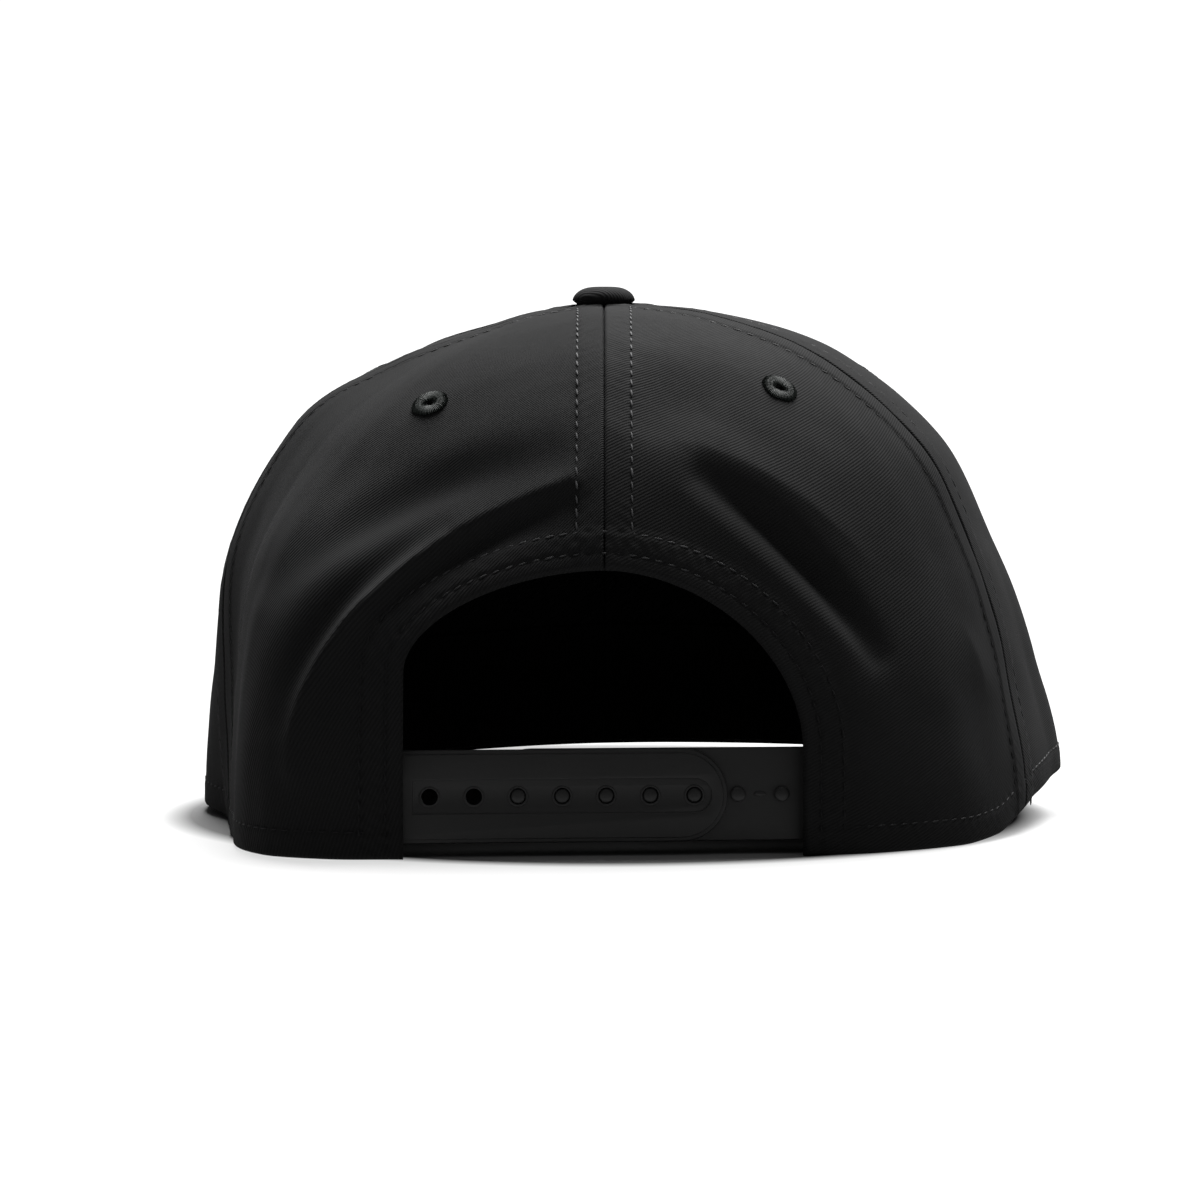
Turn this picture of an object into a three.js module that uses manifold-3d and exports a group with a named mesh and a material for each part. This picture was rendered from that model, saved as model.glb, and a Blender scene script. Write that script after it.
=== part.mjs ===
// A snapback cap of black twill with six crown panels, a peak and a plastic snap closure.
// Sizes are millimetres. +Z is up, the closure is at -Y, the peak points to +Y.
// The cap rests on z = 0 on its rear hem and on the two low edges of its peak.
import * as THREE from 'three';
import { mergeVertices } from 'three/addons/utils/BufferGeometryUtils.js';
import Module from 'manifold-3d';

const wasm = await Module();
wasm.setup();

// Crown
const CROWN_WIDTH = 198;
const CROWN_LENGTH = 180;
const CROWN_HEIGHT = 117.3;
const CLOTH = 1.8;
const HEM_LIFT = 10;
const FOLD_DEPTH = 4;
const FOLD_WIDTH = 7;
const GAP = 0.3;

// Opening at the back
const ARCH_WIDTH = 86;
const ARCH_HEIGHT = 61.3;
const ARCH_SQUARENESS = 1.85;
const ARCH_LEFT_SPRING = 0.655;
const ARCH_RIGHT_SPRING = 0.39;

// Button and eyelets
const BUTTON_DIAMETER = 14.4;
const BUTTON_HEIGHT = 4.2;
const EYELET_DIAMETER = 8.8;
const EYELET_HOLE = 2.8;
const EYELET_THICKNESS = 0.9;

// Sweatband
const SWEATBAND_HEIGHT = 29;
const SWEATBAND_THICKNESS = 1.2;
const SWEATBAND_RAISE = 1;
const BAND_INSET = 4;
const BAND_GAP = 0.8;
// Angles from its ends over which the band passes inside the tucked straps, and the room it leaves
const BAND_CLEAR = 12;
const BAND_RETURN = 28;
const BAND_ROOM = 3;

// Closure straps
const STRAP_WIDTH = 19.8;
const STRAP_THICKNESS = 1.5;
const STRAP_RISE = 3;
const STRAP_TUCK = 11;
const HOLE_COUNT = 7;
const ENGAGED_COUNT = 5;
const HOLE_PITCH = 9.48;
const HOLE_DIAMETER = 4.5;
const STUD_DIAMETER = 3.7;
const STUD_HEIGHT = 2.3;
const STRAP_END = 7.2;
const LAST_HOLE = 19.4;

// Peak
const PEAK_REACH = 70;
const PEAK_THICKNESS = 3;
const PEAK_ARCH = 9;
const PEAK_SPAN = 124;
const PEAK_SIDE = 2.5;
const PEAK_SQUARENESS = 2.25;
const PEAK_TOUCH = 36;

// Seams by their angle at the hem, half way up and at the top, turned from the back towards +X
const SEAMS = {
  back: { hem: 0, middle: 0, top: 0 },
  rearRight: { hem: 67, middle: 71, top: 60 },
  sideRight: { hem: 123, middle: 123, top: 120 },
  front: { hem: 180, middle: 180, top: 180 },
  sideLeft: { hem: 237, middle: 237, top: 240 },
  rearLeft: { hem: 288, middle: 272, top: 292 },
  backAgain: { hem: 360, middle: 360, top: 360 },
};

// All round the head: hem and body are shares of the plan ellipse, lift a share of HEM_LIFT
const ROUND = [
  { angle: -105, hem: 0.955, body: 0.955, lift: 0.22 },
  { angle: -90, hem: 0.935, body: 0.935, lift: 0.16 },
  { angle: -77, hem: 0.895, body: 0.93, lift: 0.06 },
  { angle: -66, hem: 0.94, body: 0.97, lift: 0 },
  { angle: -61, hem: 0.985, body: 1.01, lift: 0 },
  { angle: -55, hem: 1.04, body: 1.06, lift: 0 },
  { angle: -49, hem: 1.12, body: 1.09, lift: 0 },
  { angle: -44, hem: 1.17, body: 1.09, lift: 0 },
  { angle: -40, hem: 1.19, body: 1.08, lift: 0 },
  { angle: -33, hem: 1.17, body: 1.055, lift: 0 },
  { angle: -25, hem: 1.1, body: 1.03, lift: 0 },
  { angle: 0, hem: 0.985, body: 1, lift: 0 },
  { angle: 27, hem: 1.035, body: 1.02, lift: 0 },
  { angle: 37, hem: 1.07, body: 1.035, lift: 0 },
  { angle: 50, hem: 1.08, body: 1.052, lift: 0 },
  { angle: 58, hem: 1.066, body: 1.06, lift: 0.09 },
  { angle: 65, hem: 1.052, body: 1.06, lift: 0.43 },
  { angle: 73, hem: 1.04, body: 1.062, lift: 0.71 },
  { angle: 82, hem: 1.045, body: 1.066, lift: 0.9 },
  { angle: 90, hem: 1.07, body: 1.07, lift: 1 },
  { angle: 110, hem: 1.05, body: 1.05, lift: 0.95 },
  { angle: 140, hem: 1.01, body: 1.01, lift: 0.8 },
  { angle: 180, hem: 1, body: 1, lift: 0.7 },
  { angle: 220, hem: 1, body: 1, lift: 0.45 },
];

// Climbs between which the wall passes from the hem's outline to the body's
const BODY_FROM = 8;
const BODY_TO = 45;

// Side view of the crown: at each climb from hem to top, the swell against a plain ellipse
const SWELL_ANGLES = { back: 0, rearRight: 45, right: 90, frontRight: 135, front: 180,
  frontLeft: 225, left: 270, rearLeft: 315 };
const SWELL = [
  { climb: 0, back: 1, rearRight: 1, right: 1, frontRight: 1, front: 1, frontLeft: 1, left: 1, rearLeft: 1 },
  { climb: 15, back: 1, rearRight: 0.98, right: 0.975, frontRight: 1, front: 1.02, frontLeft: 1, left: 1.014,
    rearLeft: 1.02 },
  { climb: 30, back: 1.01, rearRight: 0.985, right: 0.984, frontRight: 1.04, front: 1.08, frontLeft: 1.06,
    left: 1.072, rearLeft: 1.05 },
  { climb: 45, back: 1.02, rearRight: 1.01, right: 1.03, frontRight: 1.07, front: 1.11, frontLeft: 1.08,
    left: 1.084, rearLeft: 1.02 },
  { climb: 60, back: 1.02, rearRight: 1.02, right: 1.038, frontRight: 1.05, front: 1.07, frontLeft: 1.05,
    left: 1.03, rearLeft: 1.005 },
  { climb: 75, back: 1.01, rearRight: 1.012, right: 1.018, frontRight: 1.015, front: 1.02, frontLeft: 1.01,
    left: 0.998, rearLeft: 0.998 },
  { climb: 90, back: 1, rearRight: 1, right: 1, frontRight: 1, front: 1, frontLeft: 1, left: 1, rearLeft: 1 },
];

// Folds on the back panels, each a bent line seen from behind: across is a share of half the crown
// width, up a share of the crown height, wide of FOLD_WIDTH and proud of FOLD_DEPTH. Ridges have a
// sharper crest than valleys.
const RIDGE_POWER = 1.6;
const VALLEY_POWER = 2;
const FOLDS = [
  { name: 'leftRidge', from: [-0.077, 0.683], bend: [-0.66, 0.5], to: [-0.68, 0.16], wide: 0.75,
    proud: 0.85 },
  { name: 'leftLowerValley', from: [-0.09, 0.645], bend: [-0.296, 0.592], to: [-0.46, 0.47], wide: 0.8,
    proud: -0.6 },
  { name: 'leftValley', from: [-0.36, 0.59], bend: [-0.65, 0.46], to: [-0.72, 0.24], wide: 0.8, proud: -0.5 },
  { name: 'leftUpperRidge', from: [-0.5, 0.6], bend: [-0.672, 0.51], to: [-0.74, 0.37], wide: 0.8,
    proud: 0.15 },
  { name: 'leftUpperValley', from: [-0.13, 0.725], bend: [-0.466, 0.68], to: [-0.73, 0.49], wide: 0.85,
    proud: -0.7 },
  { name: 'rightValley', from: [0.207, 0.695], bend: [0.47, 0.578], to: [0.61, 0.37], wide: 0.95, proud: -1 },
  { name: 'rightLip', from: [0.17, 0.752], bend: [0.39, 0.7], to: [0.58, 0.53], wide: 0.9, proud: 0.35 },
  { name: 'rightRidge', from: [0.172, 0.662], bend: [0.377, 0.508], to: [0.572, 0.345], wide: 1,
    proud: 0.45 },
  { name: 'rightUpperDent', from: [0.06, 0.85], bend: [0.15, 0.83], to: [0.27, 0.8], wide: 1.2,
    proud: -0.35 },
  { name: 'rightSideFold', from: [0.804, 0.396], bend: [0.84, 0.34], to: [0.855, 0.275], wide: 0.7,
    proud: 0.12 },
];

// Eyelet places by seam-to-seam angle and climb
const EYELETS = [
  { name: 'eyelet_rear_left', panel: 'panel_rear_left', angle: -40.8, climb: 54.5 },
  { name: 'eyelet_rear_right', panel: 'panel_rear_right', angle: 44.5, climb: 56.2 },
  { name: 'eyelet_side_right', panel: 'panel_side_right', angle: 101, climb: 55 },
  { name: 'eyelet_front_right', panel: 'panel_front_right', angle: 151.5, climb: 55 },
  { name: 'eyelet_front_left', panel: 'panel_front_left', angle: 208.5, climb: 55 },
  { name: 'eyelet_side_left', panel: 'panel_side_left', angle: 251, climb: 55 },
];

const PANELS = [
  { name: 'panel_rear_right', from: SEAMS.back, to: SEAMS.rearRight, columns: 21, rows: 22, arch: true },
  { name: 'panel_side_right', from: SEAMS.rearRight, to: SEAMS.sideRight, columns: 10, rows: 16,
    arch: false },
  { name: 'panel_front_right', from: SEAMS.sideRight, to: SEAMS.front, columns: 10, rows: 16, arch: false },
  { name: 'panel_front_left', from: SEAMS.front, to: SEAMS.sideLeft, columns: 10, rows: 16, arch: false },
  { name: 'panel_side_left', from: SEAMS.sideLeft, to: SEAMS.rearLeft, columns: 10, rows: 16, arch: false },
  { name: 'panel_rear_left', from: SEAMS.rearLeft, to: SEAMS.backAgain, columns: 21, rows: 22, arch: true },
];

// Cloth stops short of the very top, where the button's shank goes through
const TOP_CLIMB = 88.4;

const RADIANS = Math.PI / 180;
const HALF_WIDTH = CROWN_WIDTH / 2;
const HALF_LENGTH = CROWN_LENGTH / 2;

// A smooth value between table rows that never overshoots them, for rows that go once round
function roundTable(rows, key, column, angle) {
  const last = rows.length;
  const first = rows[0][key];
  const turned = first + ((((angle - first) % 360) + 360) % 360);
  const at = (i) => rows[((i % last) + last) % last][key] + 360 * Math.floor(i / last);
  const value = (i) => rows[((i % last) + last) % last][column];
  let i = 0;
  while (i < last - 1 && at(i + 1) <= turned) i += 1;
  return easedValue(turned, i, at, value);
}

// A smooth value between the rows of a table that has a first and a last row
function straightTable(rows, key, column, place) {
  const last = rows.length - 1;
  const clamp = (i) => Math.min(Math.max(i, 0), last);
  const at = (i) => (i < 0 || i > last ? rows[clamp(i)][key] + (i - clamp(i)) : rows[i][key]);
  const value = (i) => rows[clamp(i)][column];
  let i = 0;
  while (i < last - 1 && at(i + 1) <= place) i += 1;
  return easedValue(place, i, at, value);
}

// Cubic between row i and row i + 1, with slopes that keep hills and hollows at the rows
function easedValue(place, i, at, value) {
  const rise = (k) => (value(k + 1) - value(k)) / (at(k + 1) - at(k));
  const slope = (k) => {
    const before = rise(k - 1);
    const after = rise(k);
    return before * after <= 0 ? 0 : (2 * before * after) / (before + after);
  };
  const span = at(i + 1) - at(i);
  const t = (place - at(i)) / span;
  const start = value(i) * (1 + 2 * t) * (1 - t) ** 2 + slope(i) * span * t * (1 - t) ** 2;
  const end = value(i + 1) * t * t * (3 - 2 * t) + slope(i + 1) * span * t * t * (t - 1);
  return start + end;
}

// Distance from the middle seen from above, before the climb draws it in
function crownRadius(angle, climb) {
  const turn = angle * RADIANS;
  const ellipse = 1 / Math.hypot(Math.sin(turn) / HALF_WIDTH, Math.cos(turn) / HALF_LENGTH);
  const hem = roundTable(ROUND, 'angle', 'hem', angle);
  const body = roundTable(ROUND, 'angle', 'body', angle);
  return ellipse * (hem + (body - hem) * THREE.MathUtils.smoothstep(climb, BODY_FROM, BODY_TO));
}

function hemLift(angle) {
  return HEM_LIFT * roundTable(ROUND, 'angle', 'lift', angle);
}

// Swell at a climb, blended smoothly between the two nearest side views
function swellAt(angle, climb) {
  const names = Object.keys(SWELL_ANGLES);
  const turned = ((angle % 360) + 360) % 360;
  const step = 360 / names.length;
  const i = Math.floor(turned / step) % names.length;
  const t = turned / step - Math.floor(turned / step);
  const ease = t * t * (3 - 2 * t);
  const low = straightTable(SWELL, 'climb', names[i], climb);
  const high = straightTable(SWELL, 'climb', names[(i + 1) % names.length], climb);
  return low + (high - low) * ease;
}

// A point of the crown's outer face before its folds
function smoothPoint(angle, climb) {
  const swell = swellAt(angle, climb);
  const lift = hemLift(angle);
  const out = crownRadius(angle, climb) * swell * Math.cos(climb * RADIANS);
  const up = lift + (CROWN_HEIGHT - lift) * swell * Math.sin(climb * RADIANS);
  return new THREE.Vector3(out * Math.sin(angle * RADIANS), -out * Math.cos(angle * RADIANS), up);
}

// Outward direction of the cloth; level at the hem, so that the hem's edge stays flat
function clothNormal(angle, climb) {
  const probe = 0.5;
  const along = smoothPoint(angle + probe, climb).sub(smoothPoint(angle - probe, climb));
  const low = Math.max(climb - probe, 0);
  const rising = smoothPoint(angle, climb + probe).sub(smoothPoint(angle, low));
  const normal = along.cross(rising).normalize();
  if (climb < probe) normal.setZ(0);
  return normal.normalize();
}

// How far the folds push the cloth out at a point seen from behind
function foldHeight(point) {
  if (point.y > 0) return 0;
  const rear = Math.min(1, -point.y / (HALF_LENGTH * 0.2));
  let total = 0;
  for (const fold of FOLDS) {
    const line = new THREE.QuadraticBezierCurve(
      new THREE.Vector2(fold.from[0] * HALF_WIDTH, fold.from[1] * CROWN_HEIGHT),
      new THREE.Vector2(fold.bend[0] * HALF_WIDTH, fold.bend[1] * CROWN_HEIGHT),
      new THREE.Vector2(fold.to[0] * HALF_WIDTH, fold.to[1] * CROWN_HEIGHT),
    );
    const steps = 24;
    let near = Infinity;
    let where = 0;
    for (let k = 0; k <= steps; k += 1) {
      const spot = line.getPoint(k / steps);
      const away = Math.hypot(point.x - spot.x, point.z - spot.y);
      if (away < near) {
        near = away;
        where = k / steps;
      }
    }
    const fade = 0.35 + 0.65 * Math.sin(Math.PI * where);
    const spread = fold.wide * FOLD_WIDTH;
    const power = fold.proud > 0 ? RIDGE_POWER : VALLEY_POWER;
    total += fold.proud * fade * Math.exp(-((near / spread) ** power));
  }
  return total * FOLD_DEPTH * rear;
}

// A point of the cloth with its folds, at a depth below the outer face
function clothPoint(angle, climb, depth) {
  const point = smoothPoint(angle, climb);
  const fold = climb > 0 ? foldHeight(point) * Math.min(1, climb / 10) : 0;
  return point.addScaledVector(clothNormal(angle, climb), fold - depth);
}

// A closed wall between two grids of points, with its four edges
function gridSolid(outer, inner) {
  const columns = outer.length - 1;
  const rows = outer[0].length - 1;
  const positions = [];
  for (const grid of [outer, inner]) {
    for (const column of grid) {
      for (const point of column) positions.push(point.x, point.y, point.z);
    }
  }
  const out = (i, j) => i * (rows + 1) + j;
  const into = (i, j) => (columns + 1) * (rows + 1) + i * (rows + 1) + j;
  const faces = [];
  const quad = (a, b, c, d) => faces.push(a, b, c, a, c, d);
  for (let i = 0; i < columns; i += 1) {
    for (let j = 0; j < rows; j += 1) {
      quad(out(i, j), out(i + 1, j), out(i + 1, j + 1), out(i, j + 1));
      quad(into(i, j), into(i, j + 1), into(i + 1, j + 1), into(i + 1, j));
    }
    quad(out(i, 0), into(i, 0), into(i + 1, 0), out(i + 1, 0));
    quad(out(i, rows), out(i + 1, rows), into(i + 1, rows), into(i, rows));
  }
  for (let j = 0; j < rows; j += 1) {
    quad(out(0, j), out(0, j + 1), into(0, j + 1), into(0, j));
    quad(out(columns, j), into(columns, j), into(columns, j + 1), out(columns, j + 1));
  }
  const geometry = new THREE.BufferGeometry();
  geometry.setAttribute('position', new THREE.Float32BufferAttribute(positions, 3));
  geometry.setIndex(faces);
  return geometry;
}

// Solid and mesh forms of a closed geometry
function solidOf(geometry) {
  const plain = geometry.clone();
  plain.deleteAttribute('normal');
  plain.deleteAttribute('uv');
  const merged = mergeVertices(plain, 1e-4);
  return new wasm.Manifold(new wasm.Mesh({
    numProp: 3,
    vertProperties: new Float32Array(merged.attributes.position.array),
    triVerts: new Uint32Array(merged.index.array),
  }));
}

function geometryOf(solid) {
  const mesh = solid.getMesh();
  const geometry = new THREE.BufferGeometry();
  geometry.setAttribute('position', new THREE.Float32BufferAttribute(mesh.vertProperties, 3));
  geometry.setIndex(new THREE.BufferAttribute(mesh.triVerts, 1));
  return geometry;
}

function clothMaterial(color) {
  return new THREE.MeshStandardMaterial({ color, roughness: 0.9, metalness: 0 });
}

function plasticMaterial(color) {
  return new THREE.MeshStandardMaterial({ color, roughness: 0.45, metalness: 0 });
}

// A seam's angle at a climb, bent smoothly through its three given angles
function seamAngle(seam, climb) {
  const t = climb / 90;
  const bow = 4 * (seam.middle - (seam.hem + seam.top) / 2);
  return seam.hem + (seam.top - seam.hem) * t + bow * t * (1 - t);
}

// Half the seam gap as an angle at a point, so that the gap keeps its width up to the top
function seamInset(angle, climb) {
  const point = smoothPoint(angle, climb);
  return (GAP / 2 / Math.hypot(point.x, point.y)) / RADIANS;
}

// Outline of the opening seen from behind, each side a squarish quarter round on an upright
function archShape() {
  const half = ARCH_WIDTH / 2;
  const below = -10;
  const steps = 14;
  const shape = new THREE.Shape();
  const corner = (side, spring, t) => {
    const turn = t * Math.PI / 2;
    const across = Math.cos(turn) ** (2 / ARCH_SQUARENESS);
    const up = Math.sin(turn) ** (2 / ARCH_SQUARENESS);
    return [side * half * across, ARCH_HEIGHT * (spring + (1 - spring) * up)];
  };
  shape.moveTo(-half, below);
  shape.lineTo(half, below);
  for (let k = 0; k <= steps; k += 1) shape.lineTo(...corner(1, ARCH_RIGHT_SPRING, k / steps));
  for (let k = steps - 1; k >= 0; k -= 1) shape.lineTo(...corner(-1, ARCH_LEFT_SPRING, k / steps));
  shape.closePath();
  return shape;
}

// The opening as a solid that runs from behind the cap to its middle
function archSolid() {
  const reach = CROWN_LENGTH;
  const geometry = new THREE.ExtrudeGeometry(archShape(), { depth: reach, bevelEnabled: false });
  geometry.rotateX(Math.PI / 2);
  return solidOf(geometry);
}

// The eyelet's place, turned so that its axis is the cloth's outward direction
function eyeletFrame(eyelet, proud) {
  const normal = clothNormal(eyelet.angle, eyelet.climb);
  const point = clothPoint(eyelet.angle, eyelet.climb, -proud);
  const turn = new THREE.Quaternion().setFromUnitVectors(new THREE.Vector3(0, 0, 1), normal);
  return new THREE.Matrix4().compose(point, turn, new THREE.Vector3(1, 1, 1));
}

function makeEyelet(eyelet) {
  const inside = EYELET_HOLE / 2;
  const outside = EYELET_DIAMETER / 2;
  const crest = (inside + outside) / 2;
  const profile = [
    new THREE.Vector2(inside, 0),
    new THREE.Vector2(outside, 0),
    new THREE.Vector2(outside - EYELET_THICKNESS * 0.2, EYELET_THICKNESS * 0.6),
    new THREE.Vector2(crest, EYELET_THICKNESS),
    new THREE.Vector2(inside + EYELET_THICKNESS * 0.2, EYELET_THICKNESS * 0.6),
    new THREE.Vector2(inside, 0),
  ];
  const geometry = new THREE.LatheGeometry(profile, 14);
  geometry.rotateX(Math.PI / 2);
  geometry.applyMatrix4(eyeletFrame(eyelet, GAP));
  const mesh = new THREE.Mesh(geometryOf(solidOf(geometry)), clothMaterial(0x2b2d2c));
  mesh.name = eyelet.name;
  return mesh;
}

// The hole in the cloth under an eyelet
function eyeletDrill(eyelet) {
  const length = CLOTH * 4;
  const geometry = new THREE.CylinderGeometry(EYELET_HOLE / 2, EYELET_HOLE / 2, length, 10);
  geometry.rotateX(Math.PI / 2);
  geometry.applyMatrix4(eyeletFrame(eyelet, 0));
  return solidOf(geometry);
}

function makePanel(panel, arch) {
  const outer = [];
  const inner = [];
  for (let i = 0; i <= panel.columns; i += 1) {
    const share = i / panel.columns;
    const side = i === 0 ? 1 : i === panel.columns ? -1 : 0;
    const outerColumn = [];
    const innerColumn = [];
    for (let j = 0; j <= panel.rows; j += 1) {
      const climb = (TOP_CLIMB * j) / panel.rows;
      const plain = seamAngle(panel.from, climb) * (1 - share) + seamAngle(panel.to, climb) * share;
      const angle = plain + side * seamInset(plain, climb);
      outerColumn.push(clothPoint(angle, climb, 0));
      innerColumn.push(clothPoint(angle, climb, CLOTH));
    }
    outer.push(outerColumn);
    inner.push(innerColumn);
  }
  let solid = solidOf(gridSolid(outer, inner));
  if (panel.arch) solid = solid.subtract(arch);
  for (const eyelet of EYELETS) {
    if (eyelet.panel === panel.name) solid = solid.subtract(eyeletDrill(eyelet));
  }
  const mesh = new THREE.Mesh(geometryOf(solid), clothMaterial(0x101012));
  mesh.name = panel.name;
  return mesh;
}

function makeButton() {
  const radius = BUTTON_DIAMETER / 2;
  const shank = 1.6;
  const shankLength = CLOTH + GAP;
  const profile = [
    new THREE.Vector2(0, -shankLength),
    new THREE.Vector2(shank, -shankLength),
    new THREE.Vector2(shank, 0),
    new THREE.Vector2(radius * 0.93, 0),
    new THREE.Vector2(radius, BUTTON_HEIGHT * 0.22),
    new THREE.Vector2(radius * 0.96, BUTTON_HEIGHT * 0.5),
    new THREE.Vector2(radius * 0.78, BUTTON_HEIGHT * 0.8),
    new THREE.Vector2(radius * 0.42, BUTTON_HEIGHT * 0.97),
    new THREE.Vector2(0, BUTTON_HEIGHT),
  ];
  const geometry = new THREE.LatheGeometry(profile, 20);
  geometry.rotateX(Math.PI / 2);
  geometry.translate(0, 0, CROWN_HEIGHT + GAP);
  const mesh = new THREE.Mesh(geometryOf(solidOf(geometry)), clothMaterial(0x141416));
  mesh.name = 'button';
  return mesh;
}

// Climb at which the crown's wall reaches a height above its hem
function climbAtHeight(angle, height) {
  const lift = hemLift(angle);
  let low = 0;
  let high = 60;
  for (let k = 0; k < 30; k += 1) {
    const middle = (low + high) / 2;
    if (smoothPoint(angle, middle).z - lift < height) low = middle;
    else high = middle;
  }
  return low;
}

// A point at a depth in the back wall, found by its place across the cap and its height
function backWallPoint(across, height, depth) {
  const side = Math.sign(across);
  let low = 0;
  let high = 60;
  for (let k = 0; k < 30; k += 1) {
    const middle = (low + high) / 2;
    const spot = clothPoint(side * middle, climbAtHeight(side * middle, height), depth);
    if (spot.x * side < Math.abs(across)) low = middle;
    else high = middle;
  }
  const angle = side * low;
  return { angle, point: clothPoint(angle, climbAtHeight(angle, height), depth) };
}

// Plane that the closure lies in: straight from one tucked end to the other, leaning with the wall
function closurePlane() {
  const tuck = ARCH_WIDTH / 2 + STRAP_TUCK;
  const top = STRAP_RISE + STRAP_WIDTH;
  const leftDepth = CLOTH + 2 * GAP;
  const rightDepth = leftDepth - GAP - STRAP_THICKNESS;
  const left = backWallPoint(-tuck, 0, leftDepth).point;
  const right = backWallPoint(tuck, 0, rightDepth).point;
  const leftLean = (backWallPoint(-tuck, top, leftDepth).point.y - left.y) / top;
  const rightLean = (backWallPoint(tuck, top, rightDepth).point.y - right.y) / top;
  const lean = Math.max(leftLean, rightLean);
  return { left, right, lean, slope: (right.y - left.y) / (right.x - left.x) };
}

// Puts a flat piece drawn upright, x along the closure and y up, into the closure plane
function setInPlane(geometry, plane, behind) {
  geometry.rotateX(Math.PI / 2);
  geometry.translate(0, behind, 0);
  const shear = new THREE.Matrix4().set(
    1, 0, 0, 0,
    plane.slope, 1, plane.lean, plane.left.y - plane.slope * plane.left.x,
    0, 0, 1, 0,
    0, 0, 0, 1,
  );
  geometry.applyMatrix4(shear);
  return geometry;
}

// Outline of a strap with one square end and one round end
function strapShape(square, round) {
  const low = STRAP_RISE;
  const high = STRAP_RISE + STRAP_WIDTH;
  const radius = STRAP_WIDTH / 2;
  const side = Math.sign(round - square);
  const centre = round - side * radius;
  const shape = new THREE.Shape();
  shape.moveTo(square, low);
  if (side > 0) {
    shape.lineTo(centre, low);
    shape.absarc(centre, low + radius, radius, -Math.PI / 2, Math.PI / 2, false);
    shape.lineTo(square, high);
  } else {
    shape.lineTo(square, high);
    shape.lineTo(centre, high);
    shape.absarc(centre, low + radius, radius, Math.PI / 2, (3 * Math.PI) / 2, false);
  }
  shape.closePath();
  return shape;
}

function holePlace(k) {
  return LAST_HOLE - HOLE_PITCH * (HOLE_COUNT - 1 - k);
}

function makeOuterStrap(plane) {
  const shape = strapShape(plane.left.x, LAST_HOLE + STRAP_END);
  const middle = STRAP_RISE + STRAP_WIDTH / 2;
  for (let k = 0; k < HOLE_COUNT; k += 1) {
    const hole = new THREE.Path();
    hole.absarc(holePlace(k), middle, HOLE_DIAMETER / 2, 0, 2 * Math.PI, true);
    shape.holes.push(hole);
  }
  const geometry = new THREE.ExtrudeGeometry(shape, { depth: STRAP_THICKNESS, bevelEnabled: false,
    curveSegments: 8 });
  setInPlane(geometry, plane, STRAP_THICKNESS);
  const mesh = new THREE.Mesh(geometryOf(solidOf(geometry)), plasticMaterial(0x17181a));
  mesh.name = 'strap_outer';
  return mesh;
}

function makeInnerStrap(plane) {
  const firstStud = holePlace(HOLE_COUNT - ENGAGED_COUNT);
  const shape = strapShape(plane.right.x, firstStud - STRAP_END);
  const plate = new THREE.ExtrudeGeometry(shape, { depth: STRAP_THICKNESS, bevelEnabled: false,
    curveSegments: 8 });
  const behind = 2 * STRAP_THICKNESS + GAP;
  let solid = solidOf(setInPlane(plate, plane, behind));
  const middle = STRAP_RISE + STRAP_WIDTH / 2;
  const radius = STUD_DIAMETER / 2;
  const root = STRAP_THICKNESS / 2;
  for (let k = 0; k < HOLE_COUNT; k += 1) {
    const profile = [
      new THREE.Vector2(0, -root),
      new THREE.Vector2(radius, -root),
      new THREE.Vector2(radius, STUD_HEIGHT * 0.7),
      new THREE.Vector2(radius * 0.6, STUD_HEIGHT),
      new THREE.Vector2(0, STUD_HEIGHT),
    ];
    const stud = new THREE.LatheGeometry(profile, 12);
    stud.rotateX(Math.PI / 2);
    stud.translate(firstStud + HOLE_PITCH * k, middle, 0);
    solid = solid.add(solidOf(setInPlane(stud, plane, STRAP_THICKNESS + GAP)));
  }
  const mesh = new THREE.Mesh(geometryOf(solid), plasticMaterial(0x17181a));
  mesh.name = 'strap_inner';
  return mesh;
}

function makeSweatband() {
  const from = backWallPoint(ARCH_WIDTH / 2 + BAND_INSET, 0, CLOTH).angle;
  const to = 360 + backWallPoint(-ARCH_WIDTH / 2 - BAND_INSET, 0, CLOTH).angle;
  const columns = 62;
  const rows = 4;
  const outer = [];
  const inner = [];
  for (let i = 0; i <= columns; i += 1) {
    const angle = from + ((to - from) * i) / columns;
    const fromEnd = Math.min(angle - from, to - angle);
    const back = Math.min(1, Math.max(0, (fromEnd - BAND_CLEAR) / (BAND_RETURN - BAND_CLEAR)));
    const room = 0.5 + 0.5 * Math.cos(Math.PI * back);
    const depth = CLOTH + BAND_GAP + room * (STRAP_THICKNESS + BAND_ROOM);
    const outerColumn = [];
    const innerColumn = [];
    for (let j = 0; j <= rows; j += 1) {
      const height = SWEATBAND_RAISE + (SWEATBAND_HEIGHT * j) / rows;
      const climb = climbAtHeight(angle, height);
      outerColumn.push(clothPoint(angle, climb, depth));
      innerColumn.push(clothPoint(angle, climb, depth + SWEATBAND_THICKNESS));
    }
    outer.push(outerColumn);
    inner.push(innerColumn);
  }
  const mesh = new THREE.Mesh(gridSolid(outer, inner), clothMaterial(0x0c0c0e));
  mesh.name = 'sweatband';
  return mesh;
}

// Underside height at the peak's outer edge: down on the floor beside the front, raised in the middle
function peakEdgeHeight(turn, corner) {
  const touch = Math.sin(PEAK_TOUCH * RADIANS);
  const forward = Math.sin(turn);
  const raised = Math.max(0, (forward - touch) / (1 - touch));
  const leave = Math.min(1, forward / Math.sin(PEAK_TOUCH * 0.85 * RADIANS));
  const settle = leave * leave * (3 - 2 * leave);
  return corner * (1 - settle) + PEAK_ARCH * raised ** 1.5;
}

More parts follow.
